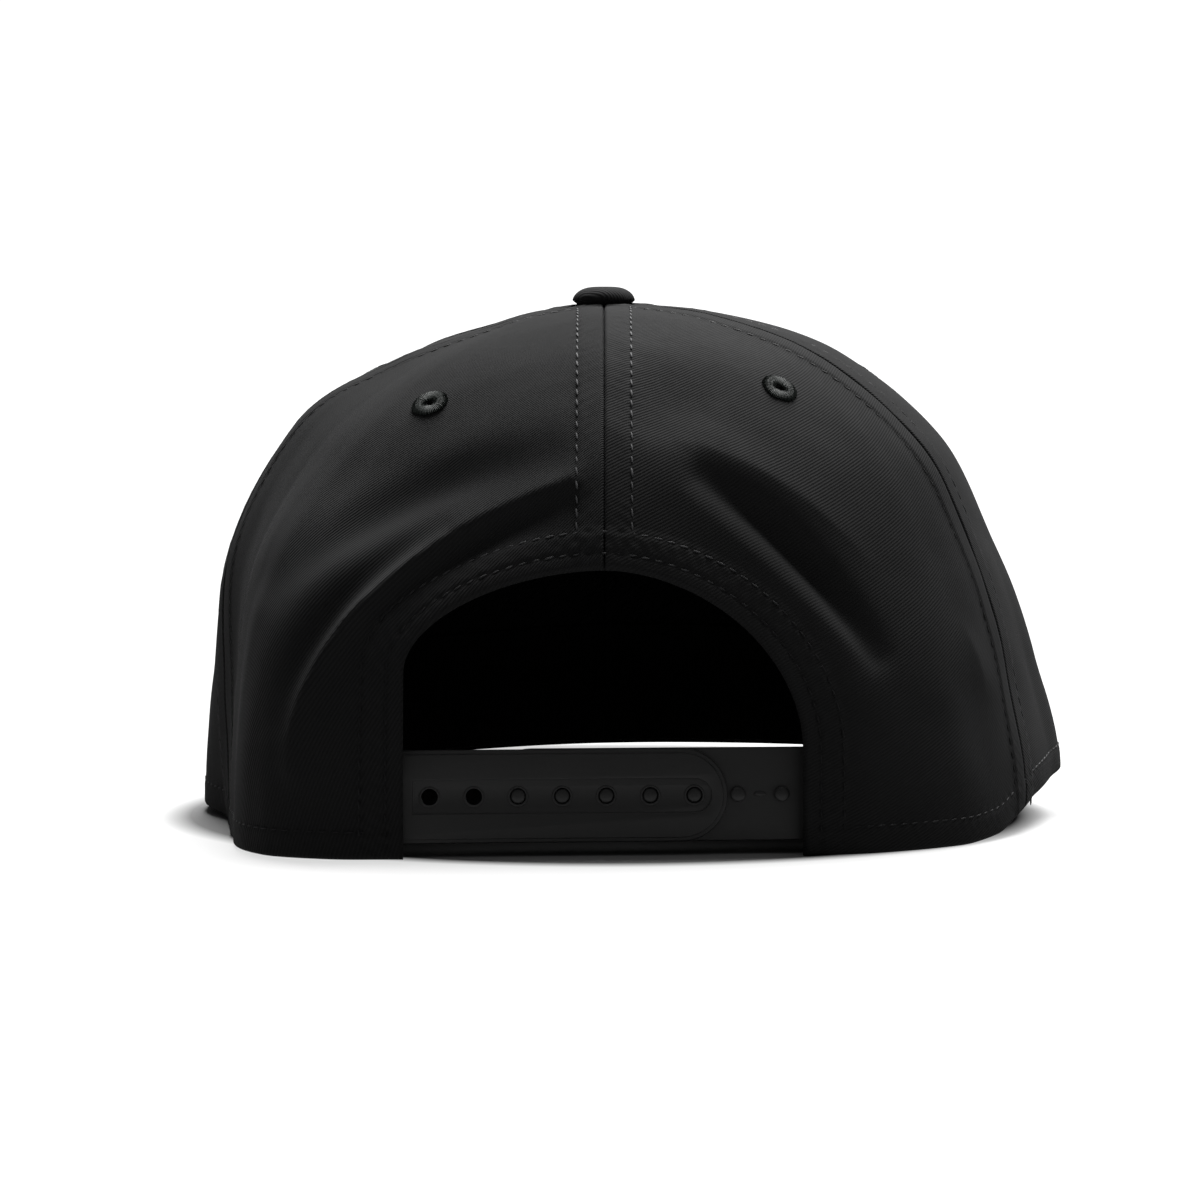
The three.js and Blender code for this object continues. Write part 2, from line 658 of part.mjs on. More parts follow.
function makePeak() {
  const columns = 34;
  const rows = 6;
  const from = SEAMS.front.hem - PEAK_SPAN / 2;
  const upper = [];
  const lower = [];
  for (let i = 0; i <= columns; i += 1) {
    const share = i / columns;
    const angle = from + PEAK_SPAN * share;
    const side = share < 0.5 ? 1 : -1;
    const root = clothPoint(angle, 0, -GAP - 0.1);
    const corner = clothPoint(side > 0 ? from : from + PEAK_SPAN, 0, -GAP - 0.1);
    const turn = Math.PI * share;
    const power = 2 / PEAK_SQUARENESS;
    const half = Math.abs(corner.x) + PEAK_SIDE;
    const reach = HALF_LENGTH + PEAK_REACH - corner.y;
    const edge = new THREE.Vector3(
      side * half * Math.abs(Math.cos(turn)) ** power,
      corner.y + reach * Math.sin(turn) ** power,
      peakEdgeHeight(turn, hemLift(side > 0 ? from : from + PEAK_SPAN)),
    );
    const upperColumn = [];
    const lowerColumn = [];
    for (let j = 0; j <= rows; j += 1) {
      const along = j / rows;
      const point = root.clone().lerp(edge, along);
      const fall = along * along * (3 - 2 * along);
      point.z = root.z + (edge.z - root.z) * (0.5 * along + 0.5 * fall);
      lowerColumn.push(point);
      upperColumn.push(point.clone().add(new THREE.Vector3(0, 0, PEAK_THICKNESS)));
    }
    upper.push(upperColumn);
    lower.push(lowerColumn);
  }
  const mesh = new THREE.Mesh(gridSolid(lower, upper), clothMaterial(0x101012));
  mesh.name = 'peak';
  return mesh;
}

const cap = new THREE.Group();
const arch = archSolid();
for (const panel of PANELS) cap.add(makePanel(panel, arch));
for (const eyelet of EYELETS) cap.add(makeEyelet(eyelet));
cap.add(makeButton());
cap.add(makeSweatband());
const plane = closurePlane();
cap.add(makeOuterStrap(plane));
cap.add(makeInnerStrap(plane));
cap.add(makePeak());

// The origin is under the middle of the cap's whole outline, on the surface that it rests on
const outline = new THREE.Box3().setFromObject(cap);
const middle = outline.getCenter(new THREE.Vector3());
cap.position.set(-middle.x, -middle.y, 0);

export default cap;
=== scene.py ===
"""A black twill snapback cap seen from behind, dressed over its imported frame.

Lengths in the tables are millimetres and shares of named sizes, as a cap maker writes them; meshes are
in metres. The crown is worked out from the same hem and swell tables as the solid model, with narrower
folds.
"""

import logging
import math
from dataclasses import dataclass, field
from enum import Enum

import bmesh
import bpy
import numpy as np
from mathutils import Matrix, Vector


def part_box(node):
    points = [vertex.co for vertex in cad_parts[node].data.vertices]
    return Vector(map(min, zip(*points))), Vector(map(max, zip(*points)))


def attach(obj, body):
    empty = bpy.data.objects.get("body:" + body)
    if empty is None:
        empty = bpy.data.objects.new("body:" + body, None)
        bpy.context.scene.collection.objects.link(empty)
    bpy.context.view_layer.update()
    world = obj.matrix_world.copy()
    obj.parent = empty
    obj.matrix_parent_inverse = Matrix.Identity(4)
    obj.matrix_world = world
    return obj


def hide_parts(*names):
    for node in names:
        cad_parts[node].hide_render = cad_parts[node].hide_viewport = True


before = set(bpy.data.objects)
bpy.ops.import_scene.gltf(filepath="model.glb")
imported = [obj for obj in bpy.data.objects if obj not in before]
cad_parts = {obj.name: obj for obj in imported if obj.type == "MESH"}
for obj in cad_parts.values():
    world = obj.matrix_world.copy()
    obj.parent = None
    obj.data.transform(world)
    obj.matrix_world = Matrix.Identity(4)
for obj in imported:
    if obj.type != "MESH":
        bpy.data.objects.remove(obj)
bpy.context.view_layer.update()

MM = 0.001
LOG = logging.getLogger("cap")


class Side(Enum):
    """Which half of the back a piece belongs to."""

    LEFT = -1
    RIGHT = 1


@dataclass(frozen=True)
class CrownSizes:
    """Driving sizes of the crown, in millimetres."""

    width: float = 198.0
    length: float = 180.0
    height: float = 117.3
    cloth: float = 1.8
    hem_lift: float = 10.0
    fold_depth: float = 4.0
    fold_width: float = 7.0
    arch_width: float = 86.0
    arch_height: float = 61.3
    arch_squareness: float = 1.85
    arch_left_spring: float = 0.655
    arch_right_spring: float = 0.39
    top_climb: float = 88.4


# Round the crown: angle in degrees, how far the hem and the body stand out as shares of the plan
# ellipse, and the hem's lift as a share of the hem lift.
ROUND = [
    (-105, 0.955, 0.955, 0.22),
    (-90, 0.935, 0.935, 0.16),
    (-77, 0.895, 0.93, 0.06),
    (-66, 0.94, 0.97, 0),
    (-61, 0.985, 1.01, 0),
    (-55, 1.04, 1.06, 0),
    (-49, 1.12, 1.09, 0),
    (-44, 1.17, 1.09, 0),
    (-40, 1.19, 1.08, 0),
    (-33, 1.17, 1.055, 0),
    (-25, 1.1, 1.03, 0),
    (0, 0.985, 1.0, 0),
    (27, 1.035, 1.02, 0),
    (37, 1.07, 1.035, 0),
    (50, 1.08, 1.052, 0),
    (58, 1.066, 1.06, 0.09),
    (65, 1.052, 1.06, 0.43),
    (73, 1.04, 1.062, 0.71),
    (82, 1.045, 1.066, 0.9),
    (90, 1.07, 1.07, 1.0),
    (110, 1.05, 1.05, 0.95),
    (140, 1.01, 1.01, 0.8),
    (180, 1.0, 1.0, 0.7),
    (220, 1.0, 1.0, 0.45),
]
# Climbs between which the wall passes from the hem's outline to the body's
BODY_FROM, BODY_TO = 8.0, 45.0

SWELL_CLIMBS = [0, 15, 30, 45, 60, 75, 90]
SWELL_VIEWS = {
    "back": [1, 1, 1.01, 1.02, 1.02, 1.01, 1],
    "rear_right": [1, 0.98, 0.985, 1.01, 1.02, 1.012, 1],
    "right": [1, 0.975, 0.984, 1.03, 1.038, 1.018, 1],
    "front_right": [1, 1, 1.04, 1.07, 1.05, 1.015, 1],
    "front": [1, 1.02, 1.08, 1.11, 1.07, 1.02, 1],
    "front_left": [1, 1, 1.06, 1.08, 1.05, 1.01, 1],
    "left": [1, 1.014, 1.072, 1.084, 1.03, 0.998, 1],
    "rear_left": [1, 1.02, 1.05, 1.02, 1.005, 0.998, 1],
}


@dataclass(frozen=True)
class Fold:
    """A fold of the cloth, drawn as a bent line seen from behind.

    Places are shares of half the crown width and of its height; wide is a share of the fold width
    and proud of the fold depth, negative for a valley.
    """

    start: tuple[float, float]
    bend: tuple[float, float]
    end: tuple[float, float]
    wide: float
    proud: float

    def line(self, steps: np.ndarray) -> np.ndarray:
        """Places on the fold's line at steps from 0 to 1, one row a place."""
        return (
            np.outer((1 - steps) ** 2, self.start)
            + np.outer(2 * steps * (1 - steps), self.bend)
            + np.outer(steps ** 2, self.end)
        )


# Ridges have a sharper crest than valleys, and a fold keeps this share of its height at its ends.
RIDGE_POWER, VALLEY_POWER = 1.35, 2.0
FOLD_ENDS = 0.35

FOLDS = {
    "left_ridge": Fold((-0.077, 0.683), (-0.66, 0.5), (-0.68, 0.16), 0.38, 0.95),
    "left_lower_valley": Fold((-0.09, 0.645), (-0.296, 0.592), (-0.46, 0.47), 0.6, -0.7),
    "left_valley": Fold((-0.36, 0.59), (-0.63, 0.47), (-0.705, 0.25), 0.5, -0.5),
    "left_upper_ridge": Fold((-0.48, 0.6), (-0.66, 0.52), (-0.73, 0.37), 0.6, 0.08),
    "left_upper_valley": Fold((-0.13, 0.725), (-0.466, 0.68), (-0.73, 0.49), 0.7, -0.6),
    "left_shoulder_dent": Fold((-0.3, 0.79), (-0.52, 0.72), (-0.74, 0.56), 1.2, -0.3),
    "right_valley": Fold((0.22, 0.69), (0.45, 0.56), (0.6, 0.36), 0.45, -0.9),
    "right_lip": Fold((0.17, 0.752), (0.39, 0.7), (0.58, 0.53), 0.8, 0.4),
    "right_ridge": Fold((0.172, 0.662), (0.377, 0.508), (0.572, 0.345), 0.9, 0.35),
    "right_upper_dent": Fold((0.06, 0.85), (0.15, 0.83), (0.27, 0.8), 1.2, -0.35),
    "right_side_fold": Fold((0.804, 0.396), (0.84, 0.34), (0.855, 0.275), 0.35, 0.15),
}

# The folds start this share of the length behind the middle, and reach full height at this climb.
REAR_BLEND, FOLDS_FROM = 0.1, 10


@dataclass(frozen=True)
class Seam:
    """A crown seam by its angle at the hem, half way up and at the top."""

    hem: float
    middle: float
    top: float

    def angle(self, climb: np.ndarray) -> np.ndarray:
        """Angle of the seam at a climb.

        Args:
            climb: climb from the hem in degrees.

        Returns:
            The seam's angle in degrees, bent smoothly through its three given angles.
        """
        t = np.asarray(climb, float) / 90
        bow = 4 * (self.middle - (self.hem + self.top) / 2)
        return self.hem + (self.top - self.hem) * t + bow * t * (1 - t)


SEAMS = {
    "back": Seam(0, 0, 0),
    "rear_right": Seam(67, 71, 60),
    "side_right": Seam(123, 123, 120),
    "front": Seam(180, 180, 180),
    "side_left": Seam(237, 237, 240),
    "rear_left": Seam(288, 272, 292),
    "back_again": Seam(360, 360, 360),
}


def smooth(low: float, high: float, value: np.ndarray) -> np.ndarray:
    """Smooth step from 0 at low to 1 at high.

    Args:
        low: where the step starts.
        high: where it ends.
        value: where to read it.

    Returns:
        The step's height at each value.
    """
    t = np.clip((np.asarray(value, float) - low) / (high - low), 0, 1)
    return t * t * (3 - 2 * t)


def eased(rows: np.ndarray, values: np.ndarray, place: np.ndarray) -> np.ndarray:
    """Cubic through table rows that never overshoots them.

    Args:
        rows: where the rows stand, rising.
        values: their values.
        place: where to read the table, between its first and last row.

    Returns:
        The value at each place.
    """
    rise = np.diff(values) / np.diff(rows)
    before = np.concatenate([[0], rise])
    after = np.concatenate([rise, [0]])
    total = np.where(np.abs(before + after) > 1e-12, before + after, 1)
    slope = np.where(before * after > 0, 2 * before * after / total, 0)
    i = np.clip(np.searchsorted(rows, place, side="right") - 1, 0, len(rows) - 2)
    span = rows[i + 1] - rows[i]
    t = (place - rows[i]) / span
    start = values[i] * (1 + 2 * t) * (1 - t) ** 2 + slope[i] * span * t * (1 - t) ** 2
    end = values[i + 1] * t * t * (3 - 2 * t) + slope[i + 1] * span * t * t * (t - 1)
    return start + end


def unit(vectors: np.ndarray) -> np.ndarray:
    """Vectors drawn to a length of 1, with the coordinates last."""
    return vectors / np.maximum(np.linalg.norm(vectors, axis=-1, keepdims=True), 1e-9)


def paired(angle: np.ndarray, climb: np.ndarray) -> list[np.ndarray]:
    """Angles and climbs as arrays of one shape."""
    return np.broadcast_arrays(np.asarray(angle, float), np.asarray(climb, float))


class CrownForm:
    """The crown's cloth as a surface over angle and climb, in millimetres about the crown's axis."""

    def __init__(self, sizes: CrownSizes) -> None:
        """Prepare the hem and swell tables and find the axis under the button.

        Args:
            sizes: the crown's driving sizes.
        """
        self.sizes = sizes
        turns = [(a + 360 * k, hem, body, lift) for k in (-2, -1, 0, 1, 2) for a, hem, body, lift in ROUND]
        self.round = np.array(turns, float).T
        self.swell_rows = np.array(SWELL_CLIMBS, float)
        self.swell = [np.array(column, float) for column in SWELL_VIEWS.values()]
        low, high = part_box("button")
        self.axis = np.array([(low[0] + high[0]) / 2, (low[1] + high[1]) / 2, 0.0])

    def radius(self, angle: np.ndarray, climb: np.ndarray) -> np.ndarray:
        """Distance from the axis in plan, before the climb draws it in.

        Args:
            angle: angles in degrees.
            climb: climbs in degrees, of the same shape.

        Returns:
            The hem's distance low down and the body's smoother one higher up.
        """
        turn = np.radians(angle)
        half = (self.sizes.width / 2, self.sizes.length / 2)
        ellipse = 1 / np.hypot(np.sin(turn) / half[0], np.cos(turn) / half[1])
        rows, hem, body, _ = self.round
        angle = np.asarray(angle, float)
        low, high = eased(rows, hem, angle), eased(rows, body, angle)
        return ellipse * (low + (high - low) * smooth(BODY_FROM, BODY_TO, climb))

    def lift(self, angle: np.ndarray) -> np.ndarray:
        """Height of the hem over the floor at an angle."""
        return self.sizes.hem_lift * eased(self.round[0], self.round[3], np.asarray(angle, float))

    def swell_at(self, angle: np.ndarray, climb: np.ndarray) -> np.ndarray:
        """Swell of the side view against a plain ellipse, blended between the views.

        Args:
            angle: angles in degrees.
            climb: climbs in degrees, of the same shape.

        Returns:
            The swell at each place.
        """
        step = 360 / len(self.swell)
        turned = np.mod(angle, 360) / step
        index = np.floor(turned).astype(int) % len(self.swell)
        t = turned - np.floor(turned)
        ease = t * t * (3 - 2 * t)
        columns = np.stack([eased(self.swell_rows, c, np.clip(climb, 0, 90)) for c in self.swell])
        low = np.take_along_axis(columns, index[None], 0)[0]
        high = np.take_along_axis(columns, ((index + 1) % len(self.swell))[None], 0)[0]
        return low + (high - low) * ease

    def plain(self, angle: np.ndarray, climb: np.ndarray) -> np.ndarray:
        """Outer face before folds.

        Args:
            angle: angles in degrees.
            climb: climbs in degrees, of the same shape.

        Returns:
            Points about the axis, with the coordinates last.
        """
        angle, climb = paired(angle, climb)
        swell = self.swell_at(angle, climb)
        lift = self.lift(angle)
        out = self.radius(angle, climb) * swell * np.cos(np.radians(climb))
        up = lift + (self.sizes.height - lift) * swell * np.sin(np.radians(climb))
        turn = np.radians(angle)
        return np.stack([out * np.sin(turn), -out * np.cos(turn), up], -1)

    def normal(self, angle: np.ndarray, climb: np.ndarray) -> np.ndarray:
        """Outward direction of the cloth, level at the hem.

        Args:
            angle: angles in degrees.
            climb: climbs in degrees, of the same shape.

        Returns:
            Unit vectors, with the coordinates last.
        """
        angle, climb = paired(angle, climb)
        probe, level_to = 0.5, 3
        along = self.plain(angle + probe, climb) - self.plain(angle - probe, climb)
        rising = self.plain(angle, climb + probe) - self.plain(angle, np.maximum(climb - probe, 0))
        normal = unit(np.cross(along, rising))
        normal[..., 2] *= smooth(0, level_to, climb)
        return unit(normal)

    def folds(self, point: np.ndarray, climb: np.ndarray) -> np.ndarray:
        """How far the folds push the cloth out.

        Args:
            point: points of the plain face.
            climb: their climbs in degrees.

        Returns:
            The push in millimetres at each point.
        """
        across = point[..., 0] / (self.sizes.width / 2)
        up = point[..., 2] / self.sizes.height
        tall = self.sizes.height / (self.sizes.width / 2)
        rear = np.clip(-point[..., 1] / (self.sizes.length * REAR_BLEND), 0, 1)
        total = np.zeros_like(across)
        steps = np.linspace(0, 1, 90)
        for fold in FOLDS.values():
            nearest = np.full(across.shape, np.inf)
            where = np.zeros_like(across)
            for t, spot in zip(steps, fold.line(steps)):
                away = np.hypot(across - spot[0], (up - spot[1]) * tall) * self.sizes.width / 2
                closer = away < nearest
                nearest = np.where(closer, away, nearest)
                where = np.where(closer, t, where)
            fade = FOLD_ENDS + (1 - FOLD_ENDS) * np.sin(math.pi * where)
            spread = fold.wide * self.sizes.fold_width
            crest = RIDGE_POWER if fold.proud > 0 else VALLEY_POWER
            total += fold.proud * fade * np.exp(-((nearest / spread) ** crest))
        return total * self.sizes.fold_depth * rear * np.clip(climb / FOLDS_FROM, 0, 1)

    def cloth(self, angle: np.ndarray, climb: np.ndarray, proud: np.ndarray | float = 0.0) -> np.ndarray:
        """Points of the folded cloth in metres, in the part's frame.

        Args:
            angle: angles in degrees.
            climb: climbs in degrees.
            proud: how far to stand off the outer face, in millimetres, negative for below it.

        Returns:
            Points with the coordinates last.
        """
        angle, climb = paired(angle, climb)
        point = self.plain(angle, climb)
        push = self.folds(point, climb) + proud
        return self.axis + (point + self.normal(angle, climb) * np.asarray(push)[..., None]) * MM

    def spot_behind(self, across: np.ndarray, up: np.ndarray) -> tuple[np.ndarray, np.ndarray]:
        """Angle and climb of points on the back, given as seen from behind.

        Args:
            across: places to the right of the axis, in millimetres.
            up: heights in millimetres.

        Returns:
            Angles and climbs in degrees.
        """
        probe, tries, most = 0.1, 14, 6
        across = np.asarray(across, float)
        up = np.asarray(up, float)
        angle = np.degrees(np.arctan2(across, self.sizes.length * 0.47))
        climb = np.degrees(np.arcsin(np.clip(up / self.sizes.height, 0, 0.99)))
        for _ in range(tries):
            here = self.plain(angle, climb)
            turned = (self.plain(angle + probe, climb) - here) / probe
            raised = (self.plain(angle, climb + probe) - here) / probe
            a, b, c, d = turned[..., 0], raised[..., 0], turned[..., 2], raised[..., 2]
            miss_x, miss_z = across - here[..., 0], up - here[..., 2]
            det = a * d - b * c
            det = np.where(np.abs(det) < 1e-6, 1e-6, det)
            angle = angle + np.clip((d * miss_x - b * miss_z) / det, -most, most)
            climb = np.clip(climb + np.clip((a * miss_z - c * miss_x) / det, -most, most), 0, 89)
        return angle, climb

    def arch(self, side: Side, offset: float, count: int, foot: float = 0.0) -> np.ndarray:
        """Outline of the opening on one side, from its middle down to the hem.

        Args:
            side: left or right half.
            offset: how far outside the edge to draw it, in millimetres.
            count: number of points, evenly spaced.
            foot: height at which the line ends.

        Returns:
            Places across and heights, one row a point.
        """
        sizes = self.sizes
        spring = sizes.arch_left_spring if side is Side.LEFT else sizes.arch_right_spring
        turn = np.linspace(math.pi / 2, 0, 160)
        power = 2 / sizes.arch_squareness
        across = sizes.arch_width / 2 * np.cos(turn) ** power
        up = sizes.arch_height * (spring + (1 - spring) * np.sin(turn) ** power)
        across = np.append(across, sizes.arch_width / 2)
        up = np.append(up, foot)
        line = np.stack([across, up], -1)
        along = np.gradient(line, axis=0)
        along /= np.linalg.norm(along, axis=-1, keepdims=True)
        line = line + np.stack([-along[:, 1], along[:, 0]], -1) * offset
        line[0, 0] = 0
        line[-1, 1] = foot
        length = np.append(0, np.cumsum(np.linalg.norm(np.diff(line, axis=0), axis=-1)))
        even = np.linspace(0, length[-1], count)
        line = np.stack([np.interp(even, length, line[:, k]) for k in (0, 1)], -1)
        line[:, 0] *= side.value
        return line


class Signal:
    """One shader value, so that its maths is written as Python expressions."""

    def __init__(self, paint: "Paint", socket: bpy.types.NodeSocket) -> None:
        """Wrap a socket.

        Args:
            paint: the material being written.
            socket: the output socket that carries the value.
        """
        self.paint = paint
        self.socket = socket

    def _math(self, operation: str, *values: "Signal | float") -> "Signal":
        """Add a Math node over values and return its result."""
        return self.paint.node("ShaderNodeMath", {"operation": operation}, dict(enumerate(values)))

    def __add__(self, other: "Signal | float") -> "Signal":
        """Sum."""
        return self._math("ADD", self, other)

    __radd__ = __add__

    def __sub__(self, other: "Signal | float") -> "Signal":
        """Difference."""
        return self._math("SUBTRACT", self, other)

    def __rsub__(self, other: "Signal | float") -> "Signal":
        """Difference from a number."""
        return self._math("SUBTRACT", other, self)

    def __mul__(self, other: "Signal | float") -> "Signal":
        """Product."""
        return self._math("MULTIPLY", self, other)

    __rmul__ = __mul__

    def __truediv__(self, other: "Signal | float") -> "Signal":
        """Quotient."""
        return self._math("DIVIDE", self, other)

    def sine(self) -> "Signal":
        """Sine."""
        return self._math("SINE", self)

    def power(self, exponent: float) -> "Signal":
        """Power of the absolute value."""
        return self._math("POWER", self._math("ABSOLUTE", self), exponent)

    def clamped(self) -> "Signal":
        """Held between 0 and 1."""
        return self._math("MINIMUM", self._math("MAXIMUM", self, 0.0), 1.0)


def add_node(tree: bpy.types.NodeTree, kind: str, settings: dict, inputs: dict) -> bpy.types.Node:
    """Add a node to a tree.

    Args:
        tree: the tree.
        kind: the node's type.
        settings: its properties, set first.
        inputs: values, sockets or signals by socket index or name.

    Returns:
        The node.
    """
    made = tree.nodes.new(kind)
    for key, value in settings.items():
        setattr(made, key, value)
    for key, value in inputs.items():
        source = value.socket if isinstance(value, Signal) else value
        if isinstance(source, bpy.types.NodeSocket):
            tree.links.new(source, made.inputs[key])
        else:
            made.inputs[key].default_value = source
    return made


class Paint:
    """Writes one material's nodes."""

    def __init__(self, name: str) -> None:
        """Start an empty material.

        Args:
            name: the material's name.
        """
        self.material = bpy.data.materials.new(name)
        self.material.use_nodes = True
        self.tree = self.material.node_tree
        self.tree.nodes.clear()

    def node(self, kind: str, settings: dict, inputs: dict, output: int | str = 0) -> Signal:
        """Add any node.

        Args:
            kind: the node's type.
            settings: its properties, set first.
            inputs: values or signals by socket index or name.
            output: which output to return.

        Returns:
            The chosen output.
        """
        return Signal(self, add_node(self.tree, kind, settings, inputs).outputs[output])

    def mix(self, factor: Signal | float, low: tuple | Signal, high: tuple | Signal) -> Signal:
        """Blend two colours.

        Args:
            factor: 0 for low, 1 for high.
            low: first colour.
            high: second colour.

        Returns:
            The blended colour.
        """
        def colour(c: tuple | Signal) -> tuple | Signal:
            """Give a plain colour its alpha."""
            return c if isinstance(c, Signal) else (*c, 1.0)

        return self.node(
            "ShaderNodeMix", {"data_type": "RGBA"}, {0: factor, 6: colour(low), 7: colour(high)}, 2
        )

    def noise(self, where: Signal, scale: float, detail: float, roughness: float = 0.5) -> Signal:
        """Cloudy noise over a place.

        Args:
            where: the coordinates.
            scale: cycles a metre.
            detail: octaves.
            roughness: how much the finer ones count.

        Returns:
            The noise, about 0 to 1.
        """
        return self.node(
            "ShaderNodeTexNoise",
            {"noise_dimensions": "3D"},
            {"Vector": where, "Scale": scale, "Detail": detail, "Roughness": roughness},
            "Fac",
        )

    def bump(self, height: Signal, distance: float, strength: float = 1.0) -> Signal:
        """Turn a height into a normal.

        Args:
            height: the height, 0 to 1.
            distance: what 1 stands for, in metres.
            strength: how much of it shows.

        Returns:
            The normal.
        """
        return self.node(
            "ShaderNodeBump", {}, {"Height": height, "Distance": distance, "Strength": strength}
        )

    def finish(self, uniform: dict, varying: dict) -> bpy.types.Material:
        """Close the material with its shader.

        Args:
            uniform: numbers set on the shader's own sockets.
            varying: signals for the sockets that may vary.

        Returns:
            The material.
        """
        shader = self.node("ShaderNodeBsdfPrincipled", {}, {**uniform, **varying})
        add_node(self.tree, "ShaderNodeOutputMaterial", {}, {"Surface": shader})
        return self.material


@dataclass(frozen=True)
class TwillFinish:
    """Black cotton twill: fine slanting ribs, a dusty sheen and slight clouding.

    Attributes:
        name: the material's name.
        slant: how far the ribs are turned, in degrees.
        pitch: from rib to rib, in millimetres.
        dark: brightness of the cloth between the ribs.
        light: brightness on the ribs.
        rib: height of the weave, in metres.
        sheen: strength of the sheen.
    """

    name: str
    slant: float
    pitch: float = 0.62
    dark: float = 0.0042
    light: float = 0.0088
    rib: float = 0.00012
    sheen: float = 0.015

    def make(self) -> bpy.types.Material:
        """Build the material."""
        paint = Paint(self.name)
        place = paint.node("ShaderNodeUVMap", {"uv_map": "cloth"}, {})
        turned = paint.node(
            "ShaderNodeMapping", {}, {"Vector": place, "Rotation": (0, 0, math.radians(self.slant))}
        )
        row = paint.node("ShaderNodeSeparateXYZ", {}, {0: turned}, 1)
        waver = paint.noise(place, 160, 3)
        rib = ((row * (math.tau / (self.pitch * MM)) + waver * 2.4).sine() + 1) * 0.5
        fuzz = paint.noise(place, 2600, 2, 0.7)
        cloud = paint.noise(place, 38, 4, 0.6)
        wear = paint.noise(place, 420, 3, 0.65)
        tone = (rib * 0.45 + cloud * 0.5 + wear * 0.35 - 0.15).clamped()
        colour = paint.mix(tone, (self.dark,) * 3, (self.light, self.light, self.light * 1.02))
        height = rib * 0.7 + fuzz * 0.3 + wear * 0.35
        return paint.finish(
            {
                "Specular IOR Level": 0.045,
                "Sheen Weight": self.sheen,
                "Sheen Roughness": 0.45,
                "Sheen Tint": (0.55, 0.56, 0.58, 1.0),
            },
            {
                "Base Color": colour,
                "Roughness": 0.82 + wear * 0.12,
                "Normal": paint.bump(height, self.rib, 0.8),
            },
        )


@dataclass(frozen=True)
class ThreadFinish:
    """Black spun thread, painted lighter above a height: a painted highlight for the overhead light on the
    crown's top.

    Attributes:
        name: the material's name.
        colour: colour low down.
        painted_light_colour: colour high up, a painted highlight.
        painted_light_heights: heights in metres between which the painted highlight fades in.
        gloss: reflection level.
    """

    name: str
    colour: tuple[float, float, float]
    painted_light_colour: tuple[float, float, float]
    painted_light_heights: tuple[float, float] = (0.052, 0.075)
    gloss: float = 0.12

    def make(self) -> bpy.types.Material:
        """Build the material."""
        paint = Paint(self.name)
        place = paint.node("ShaderNodeTexCoord", {}, {}, "Object")
        up = paint.node("ShaderNodeSeparateXYZ", {}, {"Vector": place}, "Z")
        fuzz = paint.noise(place, 1400, 2, 0.6)
        # Painted light: between these heights the thread's black turns to a lighter painted highlight,
        # standing in for the overhead light on the crown's top.
        low, high = self.painted_light_heights
        share = ((up - low) / (high - low)).clamped()
        colour = paint.mix(share * (fuzz * 0.5 + 0.75).clamped(), self.colour, self.painted_light_colour)
        return paint.finish(
            {"Specular IOR Level": self.gloss},
            {"Base Color": colour, "Roughness": 0.55 + fuzz * 0.2, "Normal": paint.bump(fuzz, 0.00008)},
        )


@dataclass(frozen=True)
class PlasticFinish:
    """Moulded black plastic with a satin skin, faint flow marks and fine scuffs."""

    name: str
    base: float = 0.006
    roughness: float = 0.4

    def make(self) -> bpy.types.Material:
        """Build the material."""
        paint = Paint(self.name)
        place = paint.node("ShaderNodeTexCoord", {}, {}, "Object")
        long = paint.node("ShaderNodeMapping", {}, {"Vector": place, "Scale": (0.25, 1, 1)})
        flow = paint.noise(long, 260, 3, 0.55)
        skin = paint.noise(place, 3200, 2, 0.5)
        scuff = paint.noise(long, 1500, 4, 0.75)
        colour = paint.mix(flow, (self.base * 0.85,) * 3, (self.base * 1.25,) * 3)
        rough = self.roughness + flow * 0.08 + scuff * 0.1
        height = skin * 0.6 + flow * 0.4
        return paint.finish(
            {"Specular IOR Level": 0.31, "IOR": 1.48},
            {"Base Color": colour, "Roughness": rough, "Normal": paint.bump(height, 0.00004, 0.6)},
        )


@dataclass(frozen=True)
class FloorFinish:
    """White table with a painted glow, masked off where the cap stands on it into a painted shadow.

    Attributes:
        name: the material's name.
        centre: middle of the cap's hem, in metres.
        half: half of the hem's width and length, in metres.
        glow: brightness of the painted glow.
        edge: where the painted shadow ends and the glow starts, as a share of the hem's size.
        sharp: how sharply it starts.
    """

    name: str
    centre: tuple[float, float]
    half: tuple[float, float]
    glow: float = 0.66
    edge: float = 1.04
    sharp: float = 12

    def make(self) -> bpy.types.Material:
        """Build the material."""
        paint = Paint(self.name)
        place = paint.node("ShaderNodeTexCoord", {}, {}, "Object")
        x, y = (
            (paint.node("ShaderNodeSeparateXYZ", {}, {0: place}, k) - self.centre[k]) / self.half[k]
            for k in (0, 1)
        )
        far = (x * x + y * y).power(0.5)
        # Painted shadow: the glow fades to nothing within the hem's ellipse, darkening the table under and
        # round the cap.
        lit = ((far - self.edge) * self.sharp).clamped()
        grain = paint.noise(place, 30, 2)
        shade = paint.mix(lit, (0.0,) * 3, (self.glow,) * 3)
        colour = paint.mix(grain, (0.12,) * 3, (0.14,) * 3)
        return paint.finish(
            {"Specular IOR Level": 0.1, "Emission Strength": 1.0},
            {"Base Color": colour, "Roughness": 0.9 + grain * 0.05, "Emission Color": shade},
        )


